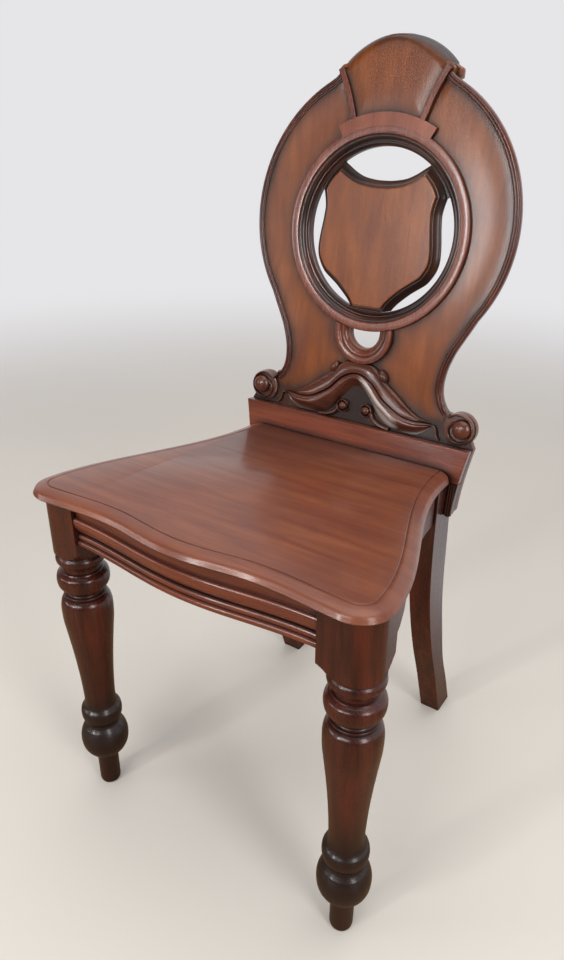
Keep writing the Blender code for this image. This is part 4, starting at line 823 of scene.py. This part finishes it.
moulding = bpy.data.node_groups.new("moulding_run", "GeometryNodeTree")
sockets = {
    name: moulding.interface.new_socket(name, in_out="INPUT", socket_type=f"NodeSocket{kind}").identifier
    for name, kind in (("Line", "Geometry"), ("Section", "Object"), ("Width", "Float"), ("Depth", "Float"),
                       ("Wood", "Material"))
}
moulding.interface.new_socket("Moulding", in_out="OUTPUT", socket_type="NodeSocketGeometry")
given = add(moulding, "NodeGroupInput").outputs
cutter = add(moulding, "GeometryNodeObjectInfo", {"Object": given["Section"]})
cutter_size = add(moulding, "ShaderNodeCombineXYZ", {"X": given["Width"], "Y": given["Depth"], "Z": 1.0})
cutter_sized = add(moulding, "GeometryNodeTransform", {
    "Geometry": cutter.outputs["Geometry"], "Scale": cutter_size,
})
section_curve = add(moulding, "GeometryNodeMeshToCurve", {"Mesh": cutter_sized})
line_curve = add(moulding, "GeometryNodeMeshToCurve", {"Mesh": given["Line"]})
upright = add(moulding, "GeometryNodeSetCurveNormal", {"Curve": line_curve}, mode="Z_UP")
swept = add(moulding, "GeometryNodeCurveToMesh", {
    "Curve": upright, "Profile Curve": section_curve, "Fill Caps": True,
})
solid = add(moulding, "GeometryNodeRealizeInstances", {"Geometry": swept})
finished = add(moulding, "GeometryNodeSetMaterial", {"Geometry": solid, "Material": given["Wood"]})
add(moulding, "NodeGroupOutput", {"Moulding": finished})


def run_moulding(points, section, wood, ring=False):
    """Runs a closed section, in millimetres, along a flat line, to its right and down, and gives
    the plain mesh."""
    path = edge_line("moulding_path", points, ring)
    cutter_line = edge_line("moulding_section", section, ring=True)
    change = path.modifiers.new("moulding", "NODES")
    change.node_group = moulding
    millimetre = 0.001
    for name, value in (
        ("Section", cutter_line), ("Width", millimetre), ("Depth", millimetre), ("Wood", wood),
    ):
        change[sockets[name]] = value
    return settled(path, cutter_line)


def reflected(mesh):
    """The left-hand twin of a mesh drawn for the right."""
    twin = mesh.copy()
    twin.transform(Matrix.Diagonal((-1, 1, 1, 1)))
    twin.flip_normals()
    return twin


rim_section = [
    (4.6, 12.0), (2.4, 11.1), (0.7, 9.2), (0.0, 7.0), (0.0, 3.0), (0.15, 2.0), (0.6, 1.1), (1.3, 0.45),
    (2.2, 0.1), (3.0, 0.0), (3.5, 0.2), (3.75, 0.95), (4.15, 1.0), (4.45, 0.45), (5.0, 0.08),
    (5.7, 0.0), (6.4, 0.15), (6.8, 0.55), (7.0, 1.0), (7.4, 1.05), (7.7, 0.6), (8.3, 0.65),
    (8.5, 1.1), (8.5, 4.0), (8.5, 12.0),
]
rim_path = [(0.0672, 0.4005), (0.0715, 0.3965)] + balloon_edge[1:] + waist_edge[1:] + [(0.1205, 0.0462)]
rim_half = run_moulding(rim_path, rim_section, rim_wood)
piece("balloon_rim", joined([rim_half, reflected(rim_half)]), rim_wood, (), on_back, crease=50)

# The ring: turned on the face plate from one piece and let into the board's round opening.
# A flat outer band, a quirk, an ovolo, a fillet and a hollow lead in to the open middle.
# Carved and turned wood shows little figure: glossy crowns over dark quirks.
carved_wood = mahogany(
    "carved_mahogany", "5A2A1A", "7E4028", "Z", polish=0.26, coat=0.40, figure=0.5, patina="40201A",
)
ring_section = [
    (0.0, 3.0), (0.0, -1.3), (-0.25, -2.0), (-0.8, -2.4), (-1.5, -2.5), (-9.2, -2.5), (-9.8, -2.3),
    (-10.1, -1.8), (-10.3, -0.4), (-10.8, -0.2), (-11.6, -0.5), (-13.2, -0.2), (-14.8, 0.8),
    (-16.1, 2.2), (-16.8, 3.8), (-17.0, 4.6), (-18.0, 4.8), (-18.3, 5.6), (-18.8, 6.8),
    (-19.8, 8.0), (-21.0, 8.7), (-21.8, 8.9), (-22.0, 9.4), (-22.0, 15.2), (-21.4, 15.9),
    (-14.4, 15.9), (-13.8, 15.3), (-13.8, 3.0),
]
ring_path = arc((0, ring_up), ring_out, 0, 360, 200)[:-1]
# The ring's flat band is the glossiest wood on the chair, turned and burnished.
ring_wood = mahogany(
    "ring_mahogany", "6A3624", "8A4E3C", "Z", polish=0.26, coat=0.55, figure=0.5, patina="5A3028",
)
ring_mesh = run_moulding(ring_path, ring_section, ring_wood, ring=True)
# Everything inside the flat band is darkened nearly black: wax and dirt, and painted shade in the deep
# inner mouldings.
radii = [sqrt(v.co.x ** 2 + (v.co.y - ring_up) ** 2) for v in ring_mesh.vertices]
band_inside, band_edge = 0.1030, 0.1042
write_shares(ring_mesh, "dirt_and_painted_shade", np.interp(radii, (band_inside, band_edge), (0.72, 0.0)))
piece("shield_ring", ring_mesh, ring_wood, ("ring_moulding",), on_back, crease=38)

# The shield: a plain board with its face stepped down at the edge, held in the ring by two
# arms at its shoulders and by its foot. Straight vertical grain, the same wood as the board.
shield_half, shield_tall, shield_foot = 0.0705, 0.1475, 0.151
shield_shares = (
    (0, 0.892), (0.17, 0.895), (0.41, 0.915), (0.596, 0.953), (0.752, 1.0), (0.894, 0.929),
    (0.976, 0.861), (0.949, 0.807), (0.929, 0.739), (0.939, 0.671), (0.957, 0.603), (0.982, 0.529),
    (1.0, 0.447), (0.999, 0.393), (0.972, 0.346), (0.915, 0.298), (0.855, 0.264), (0.738, 0.224),
    (0.624, 0.185), (0.511, 0.139), (0.397, 0.088), (0.312, 0.041), (0.258, 0),
)
shield_right = [(a * shield_half, shield_foot + b * shield_tall) for a, b in shield_shares]
shield_edge = mirrored(
    smooth(shield_right[:5], 6) + smooth(shield_right[4:7], 6)[1:] + smooth(shield_right[6:], 5)[1:]
)


def drawn_in(outline, inset):
    """A closed clockwise outline moved inwards all round, with mitred corners."""
    moved, count = [], len(outline)
    for i, point in enumerate(outline):
        before, here, after = (Vector(outline[(i + k) % count]) for k in (-1, 0, 1))
        first, second = (here - before).normalized(), (after - here).normalized()
        normal = Vector((first.y, -first.x)) + Vector((second.y, -second.x))
        normal.normalize()
        moved.append(tuple(here + normal * inset / max(normal.dot(Vector((first.y, -first.x))), 0.45)))
    return moved


def held_in(outline, reach):
    """An outline whose points never lie further than a reach from the ring's middle."""
    held = []
    for x, y in outline:
        share = min(1, reach / sqrt(x * x + (y - ring_up) ** 2))
        held.append((x * share, ring_up + (y - ring_up) * share))
    return held


# Millimetres outwards from the edge of the face, and depth: an arris, a fillet and a hollow.
shield_section = (
    (-1.2, -1.5), (-0.2, -1.5), (0.2, -1.35), (0.45, -1.0), (0.55, -0.3), (0.6, 2.4), (1.0, 2.7),
    (1.8, 2.55), (2.6, 2.55), (3.1, 2.8), (3.4, 3.5), (3.8, 4.4), (4.9, 6.1), (6.3, 7.7), (7.8, 8.9),
    (9.0, 9.5), (9.3, 10.0), (9.3, 12.0),
)
shield_rings = [
    [(x, y, -depth / 1000) for x, y in held_in(drawn_in(shield_edge, -spread / 1000), ring_in - joint_gap)]
    for spread, depth in shield_section
]
arm_front, arm_rear = 0.0096, 0.0140
arm_meshes = []
for middle, half in ((41, 13), (139, 13), (270, 10)):
    outer = arc((0, ring_up), ring_in - joint_gap, middle - half, middle + half, 12)
    inner = arc((0, ring_up), shield_half * 0.72, middle + half, middle - half, 2)
    arm_meshes.append(plate(outer + inner, -arm_rear, -arm_front))
shield_mesh = joined([loft(shield_rings), *arm_meshes])
# Painted shade: the stepped edge and the arms are darkened, and the back a little, for the shade in the
# step and behind the face.
depths = [-v.co.z * 1000 for v in shield_mesh.vertices]
write_shares(shield_mesh, "dirt_and_painted_shade", np.interp(
    depths, (-1.4, 0.2, 2.0, 9.7, 11.9), (0.0, 0.55, 0.74, 0.80, 0.25),
))
piece("shield_board", shield_mesh, panel_wood, ("shield_panel",), on_back, crease=35)

# The hood over the ring, the two ribs that spring from it and the plain panel between them:
# the keystone of the crest, planted on the board. The panel is worked to a low crown with a
# hollow round its edge, and a block behind it makes the crest as thick as it looks.
label_out, label_in, label_angle, label_proud = 0.1255, 0.1118, 28.5, 0.00251
rib_foot_out, rib_top_inset, rib_width, rib_proud = 0.042, 0.0038, 0.0068, 0.0028
label_outline = (
    arc((0, ring_up), label_out, 90 - label_angle, 90 + label_angle, 60)
    + arc((0, ring_up), label_in, 90 + label_angle, 90 - label_angle, 60)
)
# The hood is paler and redder than the ring, rubbed clean by dusting.
hood_wood = mahogany(
    "hood_mahogany", "78381F", "9C5638", "Z", polish=0.30, coat=0.36, figure=0.5, patina="5A3028",
)
hood = plate(label_outline, -field_depth, label_proud)
ease(piece("hood", hood, hood_wood, ("hood_label",), on_back), 0.0003)


def rib_line(shift):
    """One edge of a crest rib, from the hood up to the ear."""
    foot_up = ring_up + sqrt(label_out ** 2 - rib_foot_out ** 2)
    run, rise = ear_out - rib_top_inset - rib_foot_out, ear_top - rib_top_inset / 2 - foot_up
    line = [(rib_foot_out + run * a, foot_up + rise * b) for a, b in (
        (0, 0), (0.16, 0.20), (0.33, 0.41), (0.53, 0.61), (0.75, 0.80), (1.0, 1.0))]
    return beside(smooth(line, 4), shift)


for word, side in both_sides:
    outline = [(side * x, y) for x, y in rib_line(rib_width / 2) + rib_line(-rib_width / 2)[::-1]]
    rib = plate(outline, -field_depth, rib_proud)
    ease(piece(f"rib_{word}", rib, carved_wood, (f"crest_rib_{word}",), on_back), 0.0008)

backing_top, backing_radius, backing_hollow, crest_depth = 0.0025, 0.090, 0.010, 0.0195
crest_crown, crest_hollow = 0.0006, 0.0010
crest_sweep = arc((0, crest_top + backing_top - backing_radius), backing_radius, 90, 43.5, 36)
rib_inside = [p for p in rib_line(-rib_width / 2 + 0.0006) if p[1] < ear_top - 0.0010]
hood_edge = arc((0, ring_up), label_out - 0.0004, 68, 90, 12)
crest_right = crest_sweep + [(0.0668, 0.4075)] + rib_inside[::-1]
crest_right += [p for p in hood_edge if p[0] < rib_inside[0][0]]
crest_outline = mirrored(crest_right)
crest_front = [(x * 0.90, y - 0.0075) for x, y in crest_edge]


def crest_surface(points):
    """A low crown between hollowed edges, which rolls over its front line to the rear edge."""
    right = righted(points)
    sides = np.minimum(nearest(right, rib_inside), nearest(right, hood_edge))
    face = crest_crown - crest_hollow * (1 - np.exp(-(sides / 0.0100) ** 2))
    reach = np.interp(right[:, 0], [x for x, _ in crest_front], [y for _, y in crest_front])
    past = nearest(right, crest_front) * (right[:, 1] > reach)
    left = nearest(right, crest_sweep)
    roll = np.where(past > 0, past / np.maximum(past + left, 1e-6), 0)
    return face + (crest_depth - crest_crown) * (1 - (1 - np.clip(roll, 0, 1) ** 2.3) ** 0.42)


def crest_dirt_and_shade(points):
    """Dirt and painted shade beside the ribs and the hood, and over the rolled rear edge."""
    right = righted(points)
    near_ribs = np.minimum(nearest(right, rib_inside), nearest(right, hood_edge))
    back_edge = nearest(right, crest_sweep)
    return np.maximum(0.8 * np.exp(-near_ribs / 0.0065), 0.95 * np.exp(-(back_edge / 0.0095) ** 1.6))


crest = relief(crest_outline, (), 0.0016, crest_surface, crest_depth + 0.0008,
               creases=([(-x, y) for x, y in crest_front[:0:-1]] + crest_front,))
mark_dirt_and_shade(crest, crest_dirt_and_shade)
piece("crest_field", crest, panel_wood, ("crest_panel",), on_back, crease=50)
backing_rings = []
for inset, depth in ((1.5, 12.1), (0.4, 14.0), (0.2, 18.6), (0.6, 19.8), (1.8, 20.4)):
    sweep_up = crest_top + backing_top - backing_radius - 0.0016
    sweep = arc((0, sweep_up), backing_radius - inset / 1000, 90, 44, 30)
    ear = arc((0.0708 - inset / 1000, 0.4030 - inset / 1000), 0.0040, 80, 0, 8)
    low = [(0.0748 - inset / 1000, 0.3965), (ear_out, 0.3940), (rib_foot_out, ring_up + label_out)]
    outline = mirrored(sweep + ear + low + [(0, ring_up + label_out + backing_hollow)])
    backing_rings.append([(x, y, -depth / 1000) for x, y in outline])
piece("crest_block", loft(backing_rings), panel_wood, ("crest_backing",), on_back, crease=40)

# The collar: a carved band round the D-shaped opening under the ring. Its flat face dies
# against the ring at both ends, and a rounded lip leads into the opening.
collar_millimetres = (
    (38.5, 2.8), (38.5, -2.2), (38.1, -2.8), (37.4, -3.0), (31.4, -3.0), (30.6, -2.6), (30.0, -1.8),
    (29.6, -0.9), (28.9, -1.1), (27.6, -1.2), (26.0, -0.8), (24.4, 0.2), (23.0, 1.8), (22.0, 3.6),
    (21.2, 4.4), (20.6, 5.6), (20.0, 7.4), (19.5, 9.5), (19.5, 12.0), (24.0, 12.0), (24.0, 2.8),
)


def collar_turn(radius):
    """How far round from straight up the ring's edge cuts the collar, at a radius."""
    gap, ring = ring_up - collar_up, ring_out + 0.0001
    return np.arccos(np.clip((radius ** 2 + gap ** 2 - ring ** 2) / (2 * radius * gap), -1, 1))


collar_rings = []
for i in range(-48, 49):
    ring = []
    for radius, depth in collar_millimetres:
        turn = pi + (pi - collar_turn(radius / 1000)) * i / 48
        ring.append((radius / 1000 * sin(turn), collar_up + radius / 1000 * cos(turn), -depth / 1000))
    collar_rings.append(ring)
piece("collar", loft(collar_rings), carved_wood, ("collar_moulding",), on_back, crease=38)

# The arch: an ogee scroll band carved in one piece and planted on the board, from volute to
# volute. From its outer edge down it has a hollow, a fine quirk, a round roll and a cove.
# The darkest carving: deep red-black, with a wet gloss on its rolls.
arch_wood = mahogany(
    "arch_mahogany", "46231A", "6A3A28", "X", polish=0.27, coat=0.42, figure=0.4, patina="2E1612",
)


def resampled(points, count):
    """A smooth line through the points, cut again into equal lengths."""
    line = np.array(smooth(points, 8))
    run = np.concatenate([[0], np.cumsum(np.hypot(*np.diff(line, axis=0).T))])
    marks = np.linspace(0, run[-1], count)
    return np.stack([np.interp(marks, run, line[:, k]) for k in range(line.shape[1])], axis=1)


arch_steps = 70
arch_lines = [resampled(line, arch_steps) for line in (
    # Each line: (u, v, depth) in millimetres, from the middle out to the volute.
    ((0, 82.5, 0.4), (10, 83, 0.4), (18.5, 82.5, 0.4), (26, 77.5, 0.4), (34, 69.5, 0.4), (44, 61, 0.4),
     (55, 53, 0.4), (65, 45.2, 0.6), (75, 37.8, 0.8), (86, 32.2, 1.2), (96, 30.4, 1.6),
     (104, 28.6, 2.4)),
    ((0, 80.6, -3.2), (10, 81, -3.2), (17.6, 80.2, -3.2), (24.8, 75.2, -3.0), (32.6, 67.4, -2.8),
     (42.6, 59, -2.6), (53.6, 51, -2.4), (63.8, 43.4, -2.2), (74, 36.2, -1.8), (85, 31, -1.4),
     (95, 29.4, -0.8), (103, 28.2, 1.6)),
    ((0, 70.9, -5.0), (7, 69.9, -5.0), (14, 67, -5.0), (22, 62, -4.8), (30.3, 53.9, -4.6),
     (37.6, 46, -4.2), (50.5, 37.4, -3.6), (62, 31.2, -3.0), (72, 28.4, -2.4), (83, 27.6, -1.8),
     (95, 28.4, -1.0), (102, 27.8, 1.4)),
    ((0, 70.1, -2.0), (6.7, 69.1, -2.0), (13.6, 66.2, -2.0), (21.5, 61.2, -2.0), (29.7, 53.1, -1.8),
     (37, 45.2, -1.6), (50.0, 36.6, -1.0), (61.6, 30.4, -0.6), (71.6, 27.6, -0.2), (82.6, 26.8, 0.2),
     (94.6, 27.6, 0.6), (101.6, 27.2, 1.8)),
    ((0, 66.6, -7.9), (6, 65.6, -7.9), (14.6, 60.8, -7.8), (24.8, 51.4, -7.6), (34.2, 41.6, -7.2),
     (46, 32.4, -6.4), (60, 25.4, -4.8), (76, 22.6, -3.4), (90, 22.8, -2.2), (100, 24.4, 0.8)),
    ((0, 62.8, -7.0), (5.2, 62.0, -7.0), (13.6, 56.4, -6.9), (23.0, 46.4, -6.7), (31, 37.6, -6.4),
     (39.2, 31.6, -6.0), (51, 22.4, -4.6), (60, 18.4, -3.4), (70, 17.4, -2.6), (82, 17.6, -1.8),
     (92, 19.6, -0.8), (99, 22.6, 1.0)),
    ((0, 62.2, -6.8), (5.0, 61.4, -6.8), (13.2, 55.8, -6.7), (22.5, 45.8, -6.5), (30.4, 37.0, -6.2),
     (38.6, 30.8, -5.6), (50.4, 21.4, -4.0), (59.6, 17.4, -1.8), (69.6, 16.2, -0.6), (81.6, 16.4, 0.0),
     (91.6, 18.4, 0.6), (98.6, 21.8, 1.4)),
    ((0, 53.4, 2.6), (6.4, 51.2, 2.6), (12.6, 45.6, 2.6), (18.8, 38.2, 2.6), (24.8, 29.8, 2.6),
     (32.4, 19.8, 2.6), (42.6, 12.2, 2.6), (51.4, 9.6, 2.6), (60, 9.2, 1.6), (70, 9.0, 1.2),
     (82, 9.2, 1.2), (91, 11.4, 1.6), (98, 16.6, 2.2)),
)]
# The ends die into the board as leaf tips.
leaf_tip, leaf_steps = np.array((105.0, 26.0, 2.4)), 12
for line in arch_lines:
    for k in range(arch_steps - leaf_steps, arch_steps):
        share = ((k - arch_steps + leaf_steps + 1) / leaf_steps) ** 2 * 0.94
        line[k] += (leaf_tip - line[k]) * share
# Between each two lines the surface swells or is hollowed by so many millimetres, in steps.
arch_swells = ((-0.9, 4), (1.5, 8), (0.0, 1), (-1.6, 7), (-1.3, 6), (0.0, 1), (0.7, 8))
arch_sections = []
for i in range(-arch_steps + 1, arch_steps):
    side, at = (1 if i >= 0 else -1), abs(i)
    ring = []
    for (first, second), (swell, steps) in zip(zip(arch_lines, arch_lines[1:]), arch_swells):
        for k in range(steps):
            u, v, depth = first[at] + (second[at] - first[at]) * k / steps
            ring.append((side * u / 1000, v / 1000, -(depth + swell * sin(pi * k / steps)) / 1000))
    for line, depth in ((arch_lines[-1], None), (arch_lines[-1], 2.9), (arch_lines[0], 2.9)):
        u, v, own = line[at]
        ring.append((side * u / 1000, v / 1000, -(own if depth is None else depth) / 1000))
    arch_sections.append(ring)
arch = loft(arch_sections)
# Painted reflection: the right-hand cove is painted pale grey from the crown down to its tip, for the pale
# light that it mirrors.
cove = np.array([v.co for v in arch.vertices]) * 1000
to_back, to_front = (nearest(cove[:, :2], arch_lines[k][:, :2]) for k in (-1, -2))
across = to_back / np.maximum(to_back + to_front, 1e-6)
in_cove = (to_back + to_front < 15) & (across < 0.98)
cove_glint = in_cove * np.clip((across - 0.05) * 2.2, 0, 1)
for near_end in ((cove[:, 0] - 4) / 10, (62 - cove[:, 0]) / 10):
    cove_glint = cove_glint * np.clip(near_end, 0, 1)
write_shares(arch, "cove_glint", cove_glint)
tree = arch_wood.node_tree
polish = next(node for node in tree.nodes if node.type == "BSDF_PRINCIPLED")
glint_share = add(tree, "ShaderNodeAttribute", attribute_name="cove_glint").outputs["Fac"]
glinted_wood = add(tree, "ShaderNodeMix", {
    "Factor": glint_share, "A": polish.inputs["Base Color"].links[0].from_socket, "B": srgb("A89C94"),
}, data_type="RGBA")
tree.links.new(glinted_wood.outputs["Result"], polish.inputs["Base Color"])
piece("arch_scroll", arch, arch_wood, ("arch_carving",), on_back, crease=33)

# The curls on the arch's shoulders and the buds at its foot: small carvings in the arch's dark
# wood, glued on. A bud is a ball inside a C-scroll, whose tail runs out along the arch's foot.

def bead(centre, radii, lean, depth, rows=14, turns=28):
    """A carved bead, domed in front and flat behind, leaned by an angle in degrees."""
    rings = []
    for k in range(1, rows + 1):
        rise = pi / 2 * k / rows
        rings.append([
            (radii[0] * sin(rise) * cos(2 * pi * i / turns), radii[1] * sin(rise) * sin(2 * pi * i / turns),
             radii[2] * cos(rise)) for i in range(turns)
        ])
    rings.append([(x, y, -depth) for x, y, _ in rings[-1]])
    mesh = loft(rings)
    mesh.transform(Matrix.Translation((*centre, 0)) @ Matrix.Rotation(radians(lean), 4, "Z"))
    return mesh


def half_round(width, rise):
    """The closed section of a half-round fillet, in millimetres."""
    crown = [(width / 2 - width / 2 * cos(pi * k / 8), -rise * sin(pi * k / 8)) for k in range(9)]
    return [(0.0, 2.8)] + crown + [(width, 2.8)]


for word, side in both_sides:
    curl = bead((side * 0.0340, 0.0720), (0.0050, 0.0084, 0.0066), side * 32, 0.0028)
    piece(f"curl_{word}", curl, arch_wood, (f"arch_curl_{word}",), on_back)
    middle = (0.0165, 0.0255)
    scroll = arc(middle, 0.0086, 150, -150, 30)
    tail = smooth((
        (0.0245, 0.0250), (0.0285, 0.0185), (0.0350, 0.0140), (0.0430, 0.0118), (0.0500, 0.0112),
    ), 6)
    bud = joined([
        run_moulding(scroll, half_round(2.4, 4.2), arch_wood),
        bead(middle, (0.0058, 0.0058, 0.0062), 0, 0.0028),
        run_moulding(tail, half_round(5.2, 3.2), arch_wood),
    ])
    bud = bud if side > 0 else reflected(bud)
    piece(f"bud_{word}", bud, arch_wood, (f"scroll_bud_{word}",), on_back)

# The volutes: on each lobe of the board the rim runs round and curls in to a ball, and a fine
# scroll links it to the tip of the arch. They are carved and planted, in the arch's dark wood.
spiral, curl_in = [], 0.0094
for k in range(73):
    turn, share = radians(133 - 375 * k / 72), k / 72
    radius = lobe_radius - curl_in * share ** 2.0
    spiral.append((volute_out + radius * cos(turn), volute_up + radius * sin(turn)))
spiral = smooth([(0.1170, 0.0520), (0.1200, 0.0462)], 2)[:-1] + spiral
disc = bead((volute_out, volute_up), (0.0192, 0.0192, 0.0008), 0, 0.0030, rows=6, turns=64)
ball = bead((volute_out + 0.0044, volute_up + 0.0016), (0.0122, 0.0122, 0.0098), 0, 0.0, turns=44)
link = smooth([(0.1035, 0.0266), (0.1078, 0.0262), (0.1106, 0.0208), (0.1122, 0.0150), (0.1160, 0.0106)], 6)
volute = joined([
    disc, ball, run_moulding(spiral, half_round(3.4, 4.4), arch_wood),
    run_moulding(link, half_round(2.2, 1.8), arch_wood),
])
for word, side in both_sides:
    piece(f"scroll_{word}", volute.copy() if side > 0 else reflected(volute), arch_wood,
          (f"volute_{word}",), on_back)

# The plinth: a plain bar of polished mahogany planted across the foot of the back, with its
# arrises just eased. It stands on the heads of the rear legs and closes the seat's rear edge.


def reach_up(name):
    """How far down and up a CAD node reaches along the back."""
    heights = [(on_back.inverted() @ v.co).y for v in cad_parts[name].data.vertices]
    return min(heights), max(heights)


plinth_foot, _ = reach_up("plinth_bar")
plinth_proud = 0.011
bar_right = [(plinth_side(v), v) for v in np.linspace(plinth_top, plinth_foot, 10)]
bar = plate(mirrored(bar_right), joint_gap, plinth_proud)
ease(piece("plinth", bar, rail_wood, ("plinth_bar",), on_back), 0.0010)

# The drops: short mahogany blocks under the plinth's ends, outside the heads of the rear legs,
# glued to the back board. Three reeds are carved down the face of each.
drop_proud, reed_width = 0.010, 0.0029
for word, side in both_sides:
    foot, top = reach_up(f"reeded_drop_{word}")
    inner = rear_leg_out + joint_gap
    centre_x = (inner + foot_out) / 2
    radius = (foot_out - inner) / 2
    outer = [(plinth_side(v), v) for v in np.linspace(top, foot + radius, 6)]
    outline = [(inner, top), *outer, *arc((centre_x, foot + radius), radius, 0, -180, 10)[1:]]
    body = plate([(side * x, y) for x, y in outline], joint_gap, drop_proud)
    reeds = []
    for apart in (-reed_width, 0, reed_width):
        x = side * centre_x + apart - reed_width / 2
        lift = radius - sqrt(radius ** 2 - apart ** 2) + 0.0006
        line = [(x, foot + lift), (x, top - 0.0004)]
        reeds.append(run_moulding(line, half_round(reed_width * 1000, 1.1), carved_wood))
        reeds[-1].transform(Matrix.Translation((0, 0, drop_proud)))
    block = joined([body, *reeds])
    # Painted shade: the whole drop is darkened, as it stands in shadow under the seat's edge.
    write_shares(block, "dirt_and_painted_shade", [0.62] * len(block.vertices))
    piece(f"drop_{word}", block, carved_wood, (f"reeded_drop_{word}",), on_back)

# The screws: countersunk steel wood screws, four up through the glue blocks and four through
# the back board from behind. The heads are dulled by age.
steel, tree = bare_material("aged_steel")
place = add(tree, "ShaderNodeTexCoord")
rust = add(tree, "ShaderNodeTexNoise", {"Vector": place.outputs["Object"], "Scale": 900.0, "Detail": 3.0})
tone = add(tree, "ShaderNodeMix", {
    "Factor": rust, "A": srgb("8A857E"), "B": srgb("5C4A3E"),
}, data_type="RGBA")
shine = add(tree, "ShaderNodeBsdfPrincipled", {"Base Color": tone, "Metallic": 1.0, "Roughness": 0.42})
add(tree, "ShaderNodeOutputMaterial", {"Surface": shine})
for name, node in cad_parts.items():
    if "screw" in name:
        for holder in node.material_slots:
            holder.material = steel
